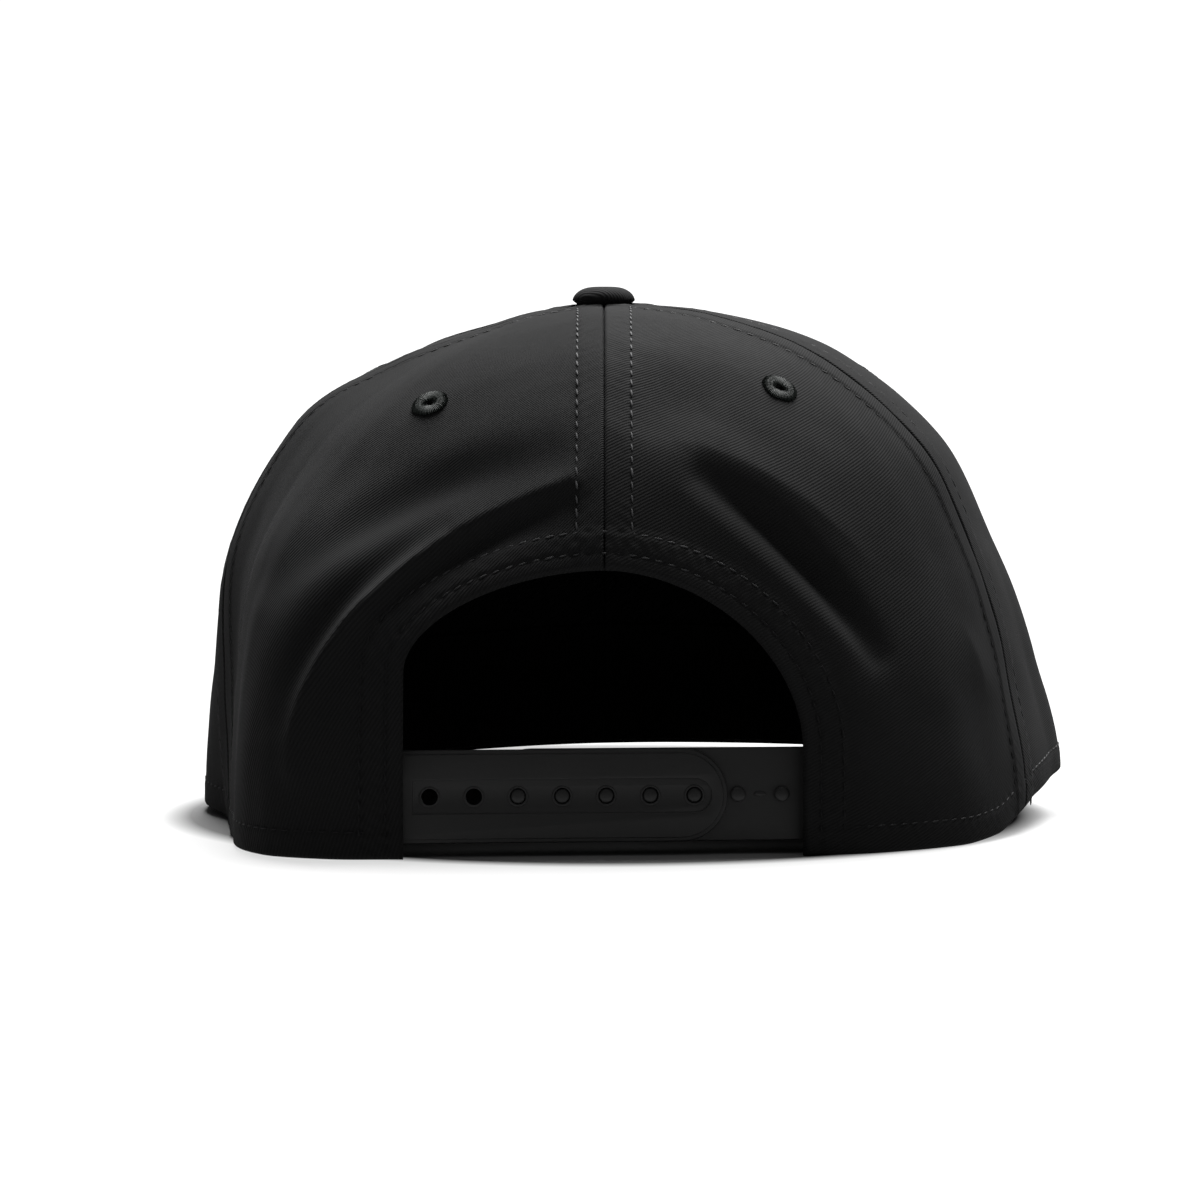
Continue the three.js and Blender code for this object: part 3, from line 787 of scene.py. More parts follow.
class Finishes:
    """Every finish of the cap, made once."""

    def __init__(self, form: CrownForm) -> None:
        """Make the materials.

        Args:
            form: the crown, for the place of the table's painted shadow.
        """
        self.rear = {
            "rear_left": TwillFinish("twill_rear_left", -58, rib=0.00017).make(),
            "rear_right": TwillFinish("twill_rear_right", -24).make(),
        }
        self.side = TwillFinish("twill_side", 40).make()
        self.peak = TwillFinish("twill_peak", 45).make()
        self.button = TwillFinish("twill_button", 30).make()
        self.band = TwillFinish(
            "band_cloth", 90, pitch=0.9, dark=0.004, light=0.008, rib=0.00008, sheen=0.01
        ).make()
        # The second colour of each thread is its painted highlight, taken high up on the crown.
        black, painted_light_colour = (0.003, 0.003, 0.0033), (0.034, 0.034, 0.035)
        self.thread = ThreadFinish("topstitch_thread", black, painted_light_colour).make()
        # Painted shade: the side seams, hem and peak get the same black thread as the topstitching with far
        # less painted highlight high up.
        self.side_thread = ThreadFinish("side_thread", (0.005,) * 3, (0.009,) * 3, gloss=0.15).make()
        self.eyelet = ThreadFinish(
            "eyelet_thread", (0.0085, 0.0102, 0.0092), (0.0115, 0.0137, 0.0124), gloss=0.08
        ).make()
        self.plastic = PlasticFinish("strap_plastic").make()
        self.table = FloorFinish("white_table", tuple(form.axis[:2]), (0.092, 0.092)).make()


def spaced(length: float, fine: float, coarse: float, margin: float = 10.0) -> np.ndarray:
    """Places from 0 to 1 that stand closest at both ends.

    Args:
        length: the length that they divide, in millimetres.
        fine: spacing within the margin.
        coarse: spacing in the middle.
        margin: width of the fine zone at each end.

    Returns:
        Rising places from 0 to 1.
    """
    blend, finest = 6, 0.08
    places = [0.0]
    while places[-1] < length:
        end = min(places[-1], length - places[-1])
        step = fine * min(1, 0.3 + end / 1.2) if end < margin else coarse
        if margin <= end < margin + blend:
            step = fine + (coarse - fine) * (end - margin) / blend
        places.append(places[-1] + max(step, finest))
    return np.array(places) / places[-1]


def away_from(points: np.ndarray, line: np.ndarray) -> tuple[np.ndarray, np.ndarray]:
    """Distance from points to a line of short pieces, and how far along it the nearest place is.

    Args:
        points: points, with the coordinates last.
        line: the line's points in order.

    Returns:
        Distances and runs, in the line's own units.
    """
    start, reach = line[:-1], np.diff(line, axis=0)
    square = np.maximum((reach ** 2).sum(-1), 1e-12)
    length = np.sqrt(square)
    before = np.concatenate([[0], np.cumsum(length)[:-1]])
    flat = points.reshape(-1, 3)
    away, run = np.empty(len(flat)), np.empty(len(flat))
    batch = 3000
    for low in range(0, len(flat), batch):
        part = slice(low, low + batch)
        rel = flat[part, None] - start
        t = np.clip((rel * reach).sum(-1) / square, 0, 1)
        gap = np.linalg.norm(rel - t[..., None] * reach, axis=-1)
        best = gap.argmin(-1)
        rows = np.arange(len(best))
        away[part] = gap[rows, best]
        run[part] = before[best] + t[rows, best] * length[best]
    shape = points.shape[:-1]
    return away.reshape(shape), run.reshape(shape)


@dataclass
class Wall:
    """A closed wall of cloth over a grid, with rounded edges all the way round.

    Attributes:
        name: the piece's name.
        middle: points half way through the wall, in metres.
        outward: unit directions of the outer face.
        half: half of the wall's thickness, in metres.
        inset: 0 on the edge and 1 where the rounding ends.
        relief: height added to the outer face, in metres.
        flat: places on the flat cloth, in metres.
        holes: grid cells that are cut away.
    """

    name: str
    middle: np.ndarray
    outward: np.ndarray
    half: float
    inset: np.ndarray
    relief: np.ndarray
    flat: np.ndarray
    holes: np.ndarray | None = None

    def build(self, material: bpy.types.Material) -> bpy.types.Object:
        """Make the wall's object.

        Args:
            material: its finish.

        Returns:
            The object, at the origin.
        """
        rows, columns = self.middle.shape[:2]
        full = np.sqrt(np.clip(1 - (1 - np.clip(self.inset, 0, 1)) ** 2, 0, 1))
        outer = self.middle + self.outward * (self.half * full + self.relief * full)[..., None]
        inner = self.middle - self.outward * (self.half * full)[..., None]
        index = np.arange(rows * columns).reshape(rows, columns)
        hidden = index + rows * columns
        for edge in (np.s_[0, :], np.s_[-1, :], np.s_[:, 0], np.s_[:, -1]):
            hidden[edge] = index[edge]
        centre = (rows // 2, columns // 2)
        along = outer[centre[0] + 1, centre[1]] - outer[centre]
        over = outer[centre[0], centre[1] + 1] - outer[centre]
        flip = float(np.dot(np.cross(along, over), self.outward[centre])) < 0
        cut = np.zeros((rows - 1, columns - 1), bool) if self.holes is None else self.holes
        faces = self._sheet(index, ~cut, flip) + self._sheet(hidden, ~cut, not flip)
        faces += self._hole_walls(index, hidden, cut, flip)
        points = np.concatenate([outer.reshape(-1, 3), inner.reshape(-1, 3)])
        flat = np.concatenate([self.flat.reshape(-1, 2)] * 2)
        return mesh_piece(self.name, points, faces, material, flat)

    @staticmethod
    def _sheet(index: np.ndarray, kept: np.ndarray, flip: bool) -> list[tuple[int, ...]]:
        """Faces over the kept cells of a grid of point numbers."""
        cells = np.stack([index[:-1, :-1], index[1:, :-1], index[1:, 1:], index[:-1, 1:]], -1)[kept]
        return [tuple(c) for c in (cells[:, ::-1] if flip else cells).tolist()]

    @staticmethod
    def _hole_walls(
        index: np.ndarray, hidden: np.ndarray, cut: np.ndarray, flip: bool
    ) -> list[tuple[int, ...]]:
        """Faces that join the two sheets round each cut cell."""
        faces = []
        for i, j in np.argwhere(cut):
            ring = [(i, j), (i + 1, j), (i + 1, j + 1), (i, j + 1)]
            beside = [(i, j - 1), (i + 1, j), (i, j + 1), (i - 1, j)]
            for k, near in enumerate(beside):
                if not cut[near]:
                    a, b = ring[k], ring[(k + 1) % 4]
                    face = (int(index[a]), int(index[b]), int(hidden[b]), int(hidden[a]))
                    faces.append(face[::-1] if flip else face)
        return faces


def linked(name: str, data: bpy.types.ID) -> bpy.types.Object:
    """Make an object and put it into the scene.

    Args:
        name: its name.
        data: its mesh, light or camera.

    Returns:
        The object.
    """
    made = bpy.data.objects.new(name, data)
    bpy.context.scene.collection.objects.link(made)
    return made


def mesh_piece(
    name: str,
    points: np.ndarray,
    faces: list[tuple[int, ...]],
    material: bpy.types.Material,
    flat: np.ndarray | None = None,
) -> bpy.types.Object:
    """Make a smooth mesh object at the origin.

    Args:
        name: its name.
        points: its points in metres.
        faces: its faces as point numbers.
        material: its finish.
        flat: places of the points on the flat cloth, where it has them.

    Returns:
        The object.
    """
    mesh = bpy.data.meshes.new(name)
    mesh.from_pydata(np.asarray(points).tolist(), [], faces)
    mesh.materials.append(material)
    mesh.polygons.foreach_set("use_smooth", [True] * len(mesh.polygons))
    if flat is not None:
        corner = np.empty(len(mesh.loops), int)
        mesh.loops.foreach_get("vertex_index", corner)
        layer = mesh.uv_layers.new(name="cloth")
        layer.data.foreach_set("uv", flat[corner].astype(np.float32).ravel())
    mesh.update()
    return linked(name, mesh)


def settle(piece: bpy.types.Object, slot: str, *nodes: str) -> bpy.types.Object:
    """Fix a piece to the cap, in place of the solids that it stands for.

    Args:
        piece: the object.
        slot: not used.
        nodes: names of the solids that it replaces.

    Returns:
        The same object.
    """
    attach(piece, "root")
    if nodes:
        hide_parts(*nodes)
    LOG.info("%s: %d faces", piece.name, len(piece.data.polygons))
    return piece


def from_sides(point: np.ndarray) -> np.ndarray:
    """Distances of a grid's points from the nearest of its four sides."""
    sides = (point[0], point[-1], point[:, 0], point[:, -1])
    return np.minimum.reduce([away_from(point, side)[0] for side in sides])


@dataclass(frozen=True)
class SewnEdge:
    """What sewing does to the cloth along one edge, in millimetres.

    Attributes:
        round_off: width over which the edge rounds down.
        raised: height of the doubled cloth along it.
        doubled: width of the doubled cloth.
        rows: distances of the stitch rows.
        pulled: depth of each row's groove.
        ruck: height of the small rucks between the rows.
        pitch: from stitch to stitch.
    """

    round_off: float
    raised: float = 0.0
    doubled: float = 6.0
    rows: tuple[float, ...] = ()
    pulled: float = 0.3
    ruck: float = 0.0
    pitch: float = 3.2

    def relief(self, away: np.ndarray, run: np.ndarray) -> np.ndarray:
        """Height of the cloth near the edge.

        Args:
            away: distance from the edge.
            run: distance along it.

        Returns:
            The height in millimetres.
        """
        height = self.raised * (1 - smooth(self.doubled - 0.3, self.doubled + 1.3, away))
        pucker = 0.72 + 0.28 * np.cos(math.tau * run / self.pitch)
        for row in self.rows:
            height = height - self.pulled * pucker * np.exp(-(((away - row) / 0.6) ** 2))
        lean = np.sin(math.tau * (run + away * 0.7) / 2.9) + 0.5 * np.sin(math.tau * (run - away) / 4.7)
        band = (away - self.doubled * 0.65) / (self.doubled * 0.4)
        return height + self.ruck * lean * np.exp(-(band ** 2))


# Distances of the stitch rows from a seam or the hem, and from the edge of the opening
SEAM_ROW, ARCH_ROWS = 6.0, (3.6, 8.6)
SEAM_EDGE = SewnEdge(0.75, 0.34, 6.0, (SEAM_ROW,), 0.34, 0.03)
HEM_EDGE = SewnEdge(0.9, 0.26, 6.0, (SEAM_ROW,), 0.3, 0.03)
ARCH_EDGE = SewnEdge(0.9, 0.42, 8.8, ARCH_ROWS, 0.36, 0.07)
RING_EDGE = SewnEdge(0.9)

# Slight waves of the cloth: height in millimetres, the axis that they run along, their width in
# metres, and how far and how often they sway
RIPPLES = ((0.05, 0, 0.0031, 1.7, 0.0047), (0.06, 1, 0.0042, 1.3, 0.0056))

# Lengths that the gores' grids divide, in millimetres: across a gore, up it and along the opening's
# edge; and the radii that turn a gore's angles and climbs into lengths when it is laid flat
GORE_WIDTH, GORE_HEIGHT, ARCH_LENGTH = 95, 130, 105
TURN_RADIUS, CLIMB_RADIUS = 95, 104


@dataclass(frozen=True)
class EyeletPlace:
    """Where an eyelet is worked, by angle and climb in degrees."""

    angle: float
    climb: float
    hole: float = 1.4


@dataclass
class CrownPanel:
    """One gore of the crown between two seams.

    Attributes:
        name: the piece's name.
        form: the crown's surface.
        left: seam at the lower angle.
        right: seam at the higher angle.
        eyelet: the eyelet worked in it.
        material: its finish.
        coarse: spacing of the grid in its middle, in millimetres.
        fine: spacing of the grid at its edges.
    """

    name: str
    form: CrownForm
    left: Seam
    right: Seam
    eyelet: EyeletPlace
    material: bpy.types.Material
    coarse: float = 1.3
    fine: float = 0.42

    def chart(self) -> tuple[np.ndarray, np.ndarray]:
        """Angle and climb of each grid point, from seam to seam and from hem to top."""
        across = spaced(GORE_WIDTH, self.fine, self.coarse)[:, None]
        climb = spaced(GORE_HEIGHT, self.fine, self.coarse)[None] * self.form.sizes.top_climb
        low, high = self.left.angle(climb), self.right.angle(climb)
        angle = low + (high - low) * across
        return np.broadcast_arrays(angle, climb)

    def edges(self) -> dict[str, SewnEdge]:
        """What each side of the grid is sewn to."""
        return {"first": SEAM_EDGE, "last": SEAM_EDGE, "low": HEM_EDGE, "high": RING_EDGE}

    def build(self) -> bpy.types.Object:
        """Make the panel.

        Returns:
            The panel's object.
        """
        form, sizes = self.form, self.form.sizes
        angle, climb = self.chart()
        plain = form.plain(angle, climb)
        sides = {"first": plain[0], "last": plain[-1], "low": plain[:, 0], "high": plain[:, -1]}
        inset = np.full(angle.shape, 1.0)
        relief = np.zeros(angle.shape)
        for side, edge in self.edges().items():
            away, run = away_from(plain, sides[side])
            inset = np.minimum(inset, away / edge.round_off)
            relief += edge.relief(away, run)
        flat = self.flat(angle, climb)
        for height, axis, wide, sway, often in RIPPLES:
            relief += height * np.sin(flat[..., axis] / wide + sway * np.sin(flat[..., 1 - axis] / often))
        middle, holes = self.pierced(form.cloth(angle, climb, -sizes.cloth / 2))
        outward = form.normal(angle, climb)
        wall = Wall(
            self.name, middle, outward, sizes.cloth / 2 * MM, inset, relief * MM, flat, holes
        )
        return settle(wall.build(self.material), "twill", self.name)

    def flat(self, angle: np.ndarray, climb: np.ndarray) -> np.ndarray:
        """Places on the gore laid flat, in metres.

        Args:
            angle: angles in degrees.
            climb: climbs in degrees.

        Returns:
            Places, with the two coordinates last.
        """
        centre = (self.left.angle(climb) + self.right.angle(climb)) / 2
        across = np.radians(angle - centre) * (TURN_RADIUS * np.cos(np.radians(climb)))
        return np.stack([across, np.radians(climb) * CLIMB_RADIUS], -1) * MM

    def pierced(self, middle: np.ndarray) -> tuple[np.ndarray, np.ndarray]:
        """Cut the eyelet's hole.

        Args:
            middle: points half way through the wall.

        Returns:
            The points, with those at the hole's edge drawn to its circle, and the cut cells.
        """
        spot = self.form.cloth(self.eyelet.angle, self.eyelet.climb, -self.form.sizes.cloth / 2)
        reach = middle - spot
        far = np.linalg.norm(reach, axis=-1)
        hole = self.eyelet.hole * MM
        near = np.abs(far - hole) < 0.45 * MM
        middle = np.where(near[..., None], spot + reach * (hole / np.maximum(far, 1e-6))[..., None], middle)
        inside = (far < hole) | near
        cut = inside[:-1, :-1] & inside[1:, :-1] & inside[1:, 1:] & inside[:-1, 1:]
        return middle, cut


@dataclass
class RearPanel(CrownPanel):
    """A rear gore, cut away under the arch of the opening."""

    coarse: float = 0.85
    side: Side = Side.LEFT

    def chart(self) -> tuple[np.ndarray, np.ndarray]:
        """Angle and climb of each grid point, from the arch out to the seam."""
        form, top = self.form, self.form.sizes.top_climb
        along, out = (spaced(length, self.fine, self.coarse) for length in (ARCH_LENGTH, GORE_WIDTH))
        seam, turn = (self.right, 0.0) if self.side is Side.RIGHT else (self.left, 360.0)
        count = 400
        line = form.arch(self.side, 0, count)
        angle, climb = form.spot_behind(line[:, 0], line[:, 1])
        angle[0], climb[-1] = 0, 0
        places = np.linspace(0, 1, count)
        inner = self._polar(np.interp(along, places, angle + turn), np.interp(along, places, climb))
        ring = np.linspace(turn, float(seam.angle(top)), 40)[:-1]
        down = np.linspace(top, 0, count)
        rim = self._polar(
            np.concatenate([ring, seam.angle(down)]), np.concatenate([np.full(len(ring), top), down])
        )
        length = np.append(0, np.cumsum(np.linalg.norm(np.diff(rim, axis=0), axis=-1)))
        even = along * length[-1]
        outer = np.stack([np.interp(even, length, rim[:, k]) for k in (0, 1)], -1)
        start = self._polar(np.full_like(out, turn), climb[0] + (top - climb[0]) * out)
        foot = angle[-1] + turn
        end = self._polar(foot + (seam.hem - foot) * out, np.zeros_like(out))
        u, v = along[:, None, None], out[None, :, None]
        sheet = (
            (1 - v) * inner[:, None] + v * outer[:, None] + (1 - u) * start[None] + u * end[None]
            - (1 - u) * (1 - v) * inner[0] - u * (1 - v) * inner[-1]
            - (1 - u) * v * outer[0] - u * v * outer[-1]
        )
        angle = np.degrees(np.arctan2(sheet[..., 0], sheet[..., 1])) + turn
        return angle, 90 - np.hypot(sheet[..., 0], sheet[..., 1])

    @staticmethod
    def _polar(angle: np.ndarray, climb: np.ndarray) -> np.ndarray:
        """Places on a flat chart with the crown's top at its centre."""
        turn = np.radians(angle)
        return np.stack([(90 - climb) * np.sin(turn), (90 - climb) * np.cos(turn)], -1)

    def edges(self) -> dict[str, SewnEdge]:
        """What each side of the grid is sewn to."""
        return {"first": SEAM_EDGE, "last": HEM_EDGE, "low": ARCH_EDGE, "high": SEAM_EDGE}


class Pattern:
    """Writes one Geometry Nodes tree and runs it once over an object."""

    def __init__(self, name: str) -> None:
        """Start a tree with a geometry input and output.

        Args:
            name: the tree's name.
        """
        self.tree = bpy.data.node_groups.new(name, "GeometryNodeTree")
        sockets = self.tree.interface
        sockets.new_socket("Geometry", in_out="INPUT", socket_type="NodeSocketGeometry")
        sockets.new_socket("Geometry", in_out="OUTPUT", socket_type="NodeSocketGeometry")
        self.entry = self.tree.nodes.new("NodeGroupInput")
        self.exit = self.tree.nodes.new("NodeGroupOutput")
        self.values: dict[str, object] = {}

    @property
    def lines(self) -> bpy.types.NodeSocket:
        """The geometry that comes in."""
        return self.entry.outputs["Geometry"]

    def size(self, name: str, value: float, kind: str = "NodeSocketFloat") -> bpy.types.NodeSocket:
        """Add a named input.

        Args:
            name: its name.
            value: the value that this tree runs with.
            kind: its socket type.

        Returns:
            The socket to link from.
        """
        socket = self.tree.interface.new_socket(name, in_out="INPUT", socket_type=kind)
        self.values[socket.identifier] = value
        return self.entry.outputs[name]

    def node(self, kind: str, settings: dict, inputs: dict, output: int | str = 0) -> bpy.types.NodeSocket:
        """Add any node.

        Args:
            kind: the node's type.
            settings: its properties, set first.
            inputs: values or sockets by input name or index.
            output: which output to return.

        Returns:
            The chosen output.
        """
        return add_node(self.tree, kind, settings, inputs).outputs[output]

    def join(self, *parts: bpy.types.NodeSocket) -> bpy.types.NodeSocket:
        """Join geometry."""
        join = self.tree.nodes.new("GeometryNodeJoinGeometry")
        for part in parts:
            self.tree.links.new(part, join.inputs[0])
        return join.outputs[0]

    def threads(
        self, points: bpy.types.NodeSocket, rings: int, size: tuple, away: object, slant: float,
        vary: tuple[float, float], seed: bpy.types.NodeSocket,
    ) -> bpy.types.NodeSocket:
        """Lay one rounded thread at each point of a line.

        Args:
            points: the line's points.
            rings: rings of the thread's shape.
            size: its size along the line, across it and away from the cloth.
            away: direction away from the cloth.
            slant: how far it turns out of the line, in degrees.
            vary: smallest and largest scale.
            seed: seed of the scales.

        Returns:
            The threads as instances.
        """
        ball = self.node("GeometryNodeMeshUVSphere", {}, {"Segments": 8, "Rings": rings, "Radius": 0.5})
        scale = self.node("ShaderNodeCombineXYZ", {}, dict(zip("XYZ", size)))
        thread = self.node(
            "GeometryNodeTransform", {},
            {"Geometry": ball, "Scale": scale, "Rotation": (0, 0, math.radians(slant))},
        )
        turn = self.node(
            "FunctionNodeAxesToRotation", {"primary_axis": "Z", "secondary_axis": "X"},
            {"Primary Axis": away, "Secondary Axis": self.node("GeometryNodeInputTangent", {}, {})},
        )
        share = self.node(
            "FunctionNodeRandomValue", {"data_type": "FLOAT"}, {2: vary[0], 3: vary[1], "Seed": seed}, 1
        )
        return self.node(
            "GeometryNodeInstanceOnPoints", {},
            {"Points": points, "Instance": thread, "Rotation": turn, "Scale": share},
        )

    def run(
        self, piece: bpy.types.Object, instances: bpy.types.NodeSocket, material: bpy.types.Material
    ) -> bpy.types.Object:
        """Close the tree, run it over a piece and keep the plain mesh.

        Args:
            piece: the object whose mesh comes in.
            instances: what comes out, before it is made real.
            material: the finish that it gets.

        Returns:
            The same object with its new mesh.
        """
        real = self.node("GeometryNodeRealizeInstances", {}, {0: instances})
        dressed = self.node("GeometryNodeSetMaterial", {}, {"Geometry": real, "Material": material})
        self.tree.links.new(dressed, self.exit.inputs["Geometry"])
        modifier = piece.modifiers.new(self.tree.name, "NODES")
        modifier.node_group = self.tree
        for identifier, value in self.values.items():
            modifier[identifier] = value
        graph = bpy.context.evaluated_depsgraph_get()
        mesh = bpy.data.meshes.new_from_object(piece.evaluated_get(graph))
        piece.modifiers.remove(modifier)
        piece.data = mesh
        if not mesh.materials:
            mesh.materials.append(material)
        return piece


@dataclass
class StitchRows:
    """Rows of thread stitches that lie on the cloth.

    Attributes:
        name: the piece's name.
        form: the crown's surface.
        material: the thread.
        pitch: from stitch to stitch, in millimetres.
        length: length of a stitch.
        width: width of a stitch.
        slant: how far each stitch turns out of its row, in degrees.
        lines: the rows as points and directions away from the cloth, in metres.
    """

    name: str
    form: CrownForm
    material: bpy.types.Material
    pitch: float = 3.2
    length: float = 2.15
    width: float = 0.52
    slant: float = 7.0
    lines: list[tuple[np.ndarray, np.ndarray]] = field(default_factory=list)

    def add_spots(self, angle: np.ndarray, climb: np.ndarray, proud: float) -> None:
        """Add a row by angle and climb.

        Args:
            angle: its angles.
            climb: its climbs.
            proud: its height over the plain cloth, in millimetres.
        """
        self.lines.append((self.form.cloth(angle, climb, proud), self.form.normal(angle, climb)))

    def add_beside(self, angle: np.ndarray, climb: np.ndarray, away: float, proud: float) -> None:
        """Add a row that keeps its distance from a line on the crown.

        Args:
            angle: the line's angles.
            climb: its climbs.
            away: distance, positive to the left of the line's direction seen from outside.
            proud: the row's height over the plain cloth.
        """
        form, step = self.form, 0.2
        here = form.plain(angle, climb)
        along = np.gradient(here, axis=0)
        along /= np.linalg.norm(along, axis=-1, keepdims=True)
        aside = np.cross(form.normal(angle, climb), along) * away
        turn = (form.plain(angle + step, climb) - here) / step
        rise = (form.plain(angle, climb + step) - here) / step
        a, b, c = (turn * turn).sum(-1), (turn * rise).sum(-1), (rise * rise).sum(-1)
        p, q = (turn * aside).sum(-1), (rise * aside).sum(-1)
        det = np.maximum(a * c - b * b, 1e-9)
        self.add_spots(
            angle + (c * p - b * q) / det, np.maximum(climb + (a * q - b * p) / det, 0), proud
        )

    def build(self) -> bpy.types.Object:
        """Sew the rows.

        Returns:
            One object with every stitch.
        """
        points = np.concatenate([line for line, _ in self.lines])
        normals = np.concatenate([normal for _, normal in self.lines])
        edges, first = [], 0
        for line, _ in self.lines:
            edges += [(first + k, first + k + 1) for k in range(len(line) - 1)]
            first += len(line)
        mesh = bpy.data.meshes.new(self.name)
        mesh.from_pydata(points.tolist(), edges, [])
        stored = mesh.attributes.new("cloth_normal", "FLOAT_VECTOR", "POINT")
        stored.data.foreach_set("vector", normals.astype(np.float32).ravel())
        piece = linked(self.name, mesh)
        pattern = Pattern(self.name + "_rows")
        pitch = pattern.size("Pitch", self.pitch * MM)
        length = pattern.size("Stitch length", self.length * MM)
        width = pattern.size("Stitch width", self.width * MM)
        seed = pattern.size("Seed", 7, "NodeSocketInt")
        curve = pattern.node("GeometryNodeMeshToCurve", {}, {"Mesh": pattern.lines})
        rows = pattern.node(
            "GeometryNodeResampleCurve", {"mode": "LENGTH"}, {"Curve": curve, "Length": pitch}
        )
        away = pattern.node(
            "GeometryNodeInputNamedAttribute", {"data_type": "FLOAT_VECTOR"}, {"Name": "cloth_normal"}
        )
        sewn = pattern.threads(rows, 6, (length, width, width), away, self.slant, (0.86, 1.12), seed)
        return settle(pattern.run(piece, sewn, self.material), "thread")


@dataclass
class Eyelet:
    """An embroidered eyelet: strands of thread laid side by side round a hole."""

    name: str
    form: CrownForm
    place: EyeletPlace
    material: bpy.types.Material
    strands: int = 58
    outside: float = 4.15
    inside: float = 1.05
    rise: float = 0.5

    def build(self) -> bpy.types.Object:
        """Work the eyelet.

        Returns:
            Its object.
        """
        piece = linked(self.name, bpy.data.meshes.new(self.name))
        pattern = Pattern(self.name + "_strands")
        strands = pattern.size("Strands", self.strands, "NodeSocketInt")
        middle = pattern.size("Middle radius", (self.outside + self.inside) / 2 * MM)
        reach = pattern.size("Strand length", (self.outside - self.inside) * 1.04 * MM)
        width = pattern.size("Strand width", 0.52 * MM)
        height = pattern.size("Strand height", self.rise * 2 * MM)
        seed = pattern.size("Seed", 3, "NodeSocketInt")
        ring = pattern.node(
            "GeometryNodeCurvePrimitiveCircle", {"mode": "RADIUS"}, {"Resolution": strands, "Radius": middle}
        )
        laid = pattern.threads(ring, 7, (width, reach, height), (0, 0, 1), 0, (0.92, 1.1), seed)
        piece = pattern.run(piece, laid, self.material)
        normal = Vector(self.form.normal(self.place.angle, self.place.climb))
        spot = self.form.cloth(self.place.angle, self.place.climb, 0.12)
        turned = normal.to_track_quat("Z", "Y").to_matrix().to_4x4()
        piece.data.transform(Matrix.Translation(Vector(spot)) @ turned)
        return settle(piece, "thread", self.name)


def lathed(profile: list[tuple[float, float]], steps: int) -> tuple[np.ndarray, list[tuple[int, ...]]]:
    """Turn a profile round the Z axis, closed at both ends.

    Args:
        profile: radius and height, from the bottom pole to the top one, both ends on the axis.
        steps: columns round the axis.

    Returns:
        Points and faces, in the profile's units.
    """
    turn = np.linspace(0, math.tau, steps, endpoint=False)
    points = [(0.0, 0.0, profile[0][1])]
    for radius, height in profile[1:-1]:
        points += [(radius * math.cos(t), radius * math.sin(t), height) for t in turn]
    points.append((0.0, 0.0, profile[-1][1]))
    faces: list[tuple[int, ...]] = []
    rings = len(profile) - 2
    for k in range(steps):
        n = (k + 1) % steps
        faces.append((0, 1 + n, 1 + k))
        for r in range(rings - 1):
            low, high = 1 + r * steps, 1 + (r + 1) * steps
            faces.append((low + k, low + n, high + n, high + k))
        last = 1 + (rings - 1) * steps
        faces.append((last + k, last + n, len(points) - 1))
    return np.array(points), faces


@dataclass
class Button:
    """The cloth-covered button on the crown's top, its cover gathered in six soft tucks."""

    form: CrownForm
    material: bpy.types.Material
    radius: float = 7.2
    height: float = 4.2
    lift: float = 0.3

    def build(self) -> bpy.types.Object:
        """Make the button.

        Returns:
            Its object.
        """
        radius = self.radius
        profile = [(0.0, -1.9), (1.5, -1.9), (1.6, -0.1), (radius * 0.6, 0.0), (radius * 0.86, 0.12)]
        profile += [
            (radius * math.cos(t) ** 0.62, self.height * (0.26 + 0.74 * math.sin(t) ** 1.15))
            for t in np.linspace(0, math.pi / 2, 22)[:-1]
        ]
        profile.append((0.0, self.height))
        points, faces = lathed(profile, 72)
        far = np.hypot(points[:, 0], points[:, 1])
        turn = np.arctan2(points[:, 1], points[:, 0])
        skirt = smooth(0.55, 1.0, far / radius) * smooth(0, 1.2, points[:, 2])
        points[:, :2] *= (1 - 0.012 * skirt * np.cos(9 * turn + 2 * np.sin(turn)))[:, None]
        points[:, 2] -= 0.1 * skirt * np.cos(6 * turn)
        flat = points[:, :2] * MM
        points[:, 2] += self.form.sizes.height + self.lift
        piece = mesh_piece("button", self.form.axis + points * MM, faces, self.material, flat)
        return settle(piece, "twill", "button")


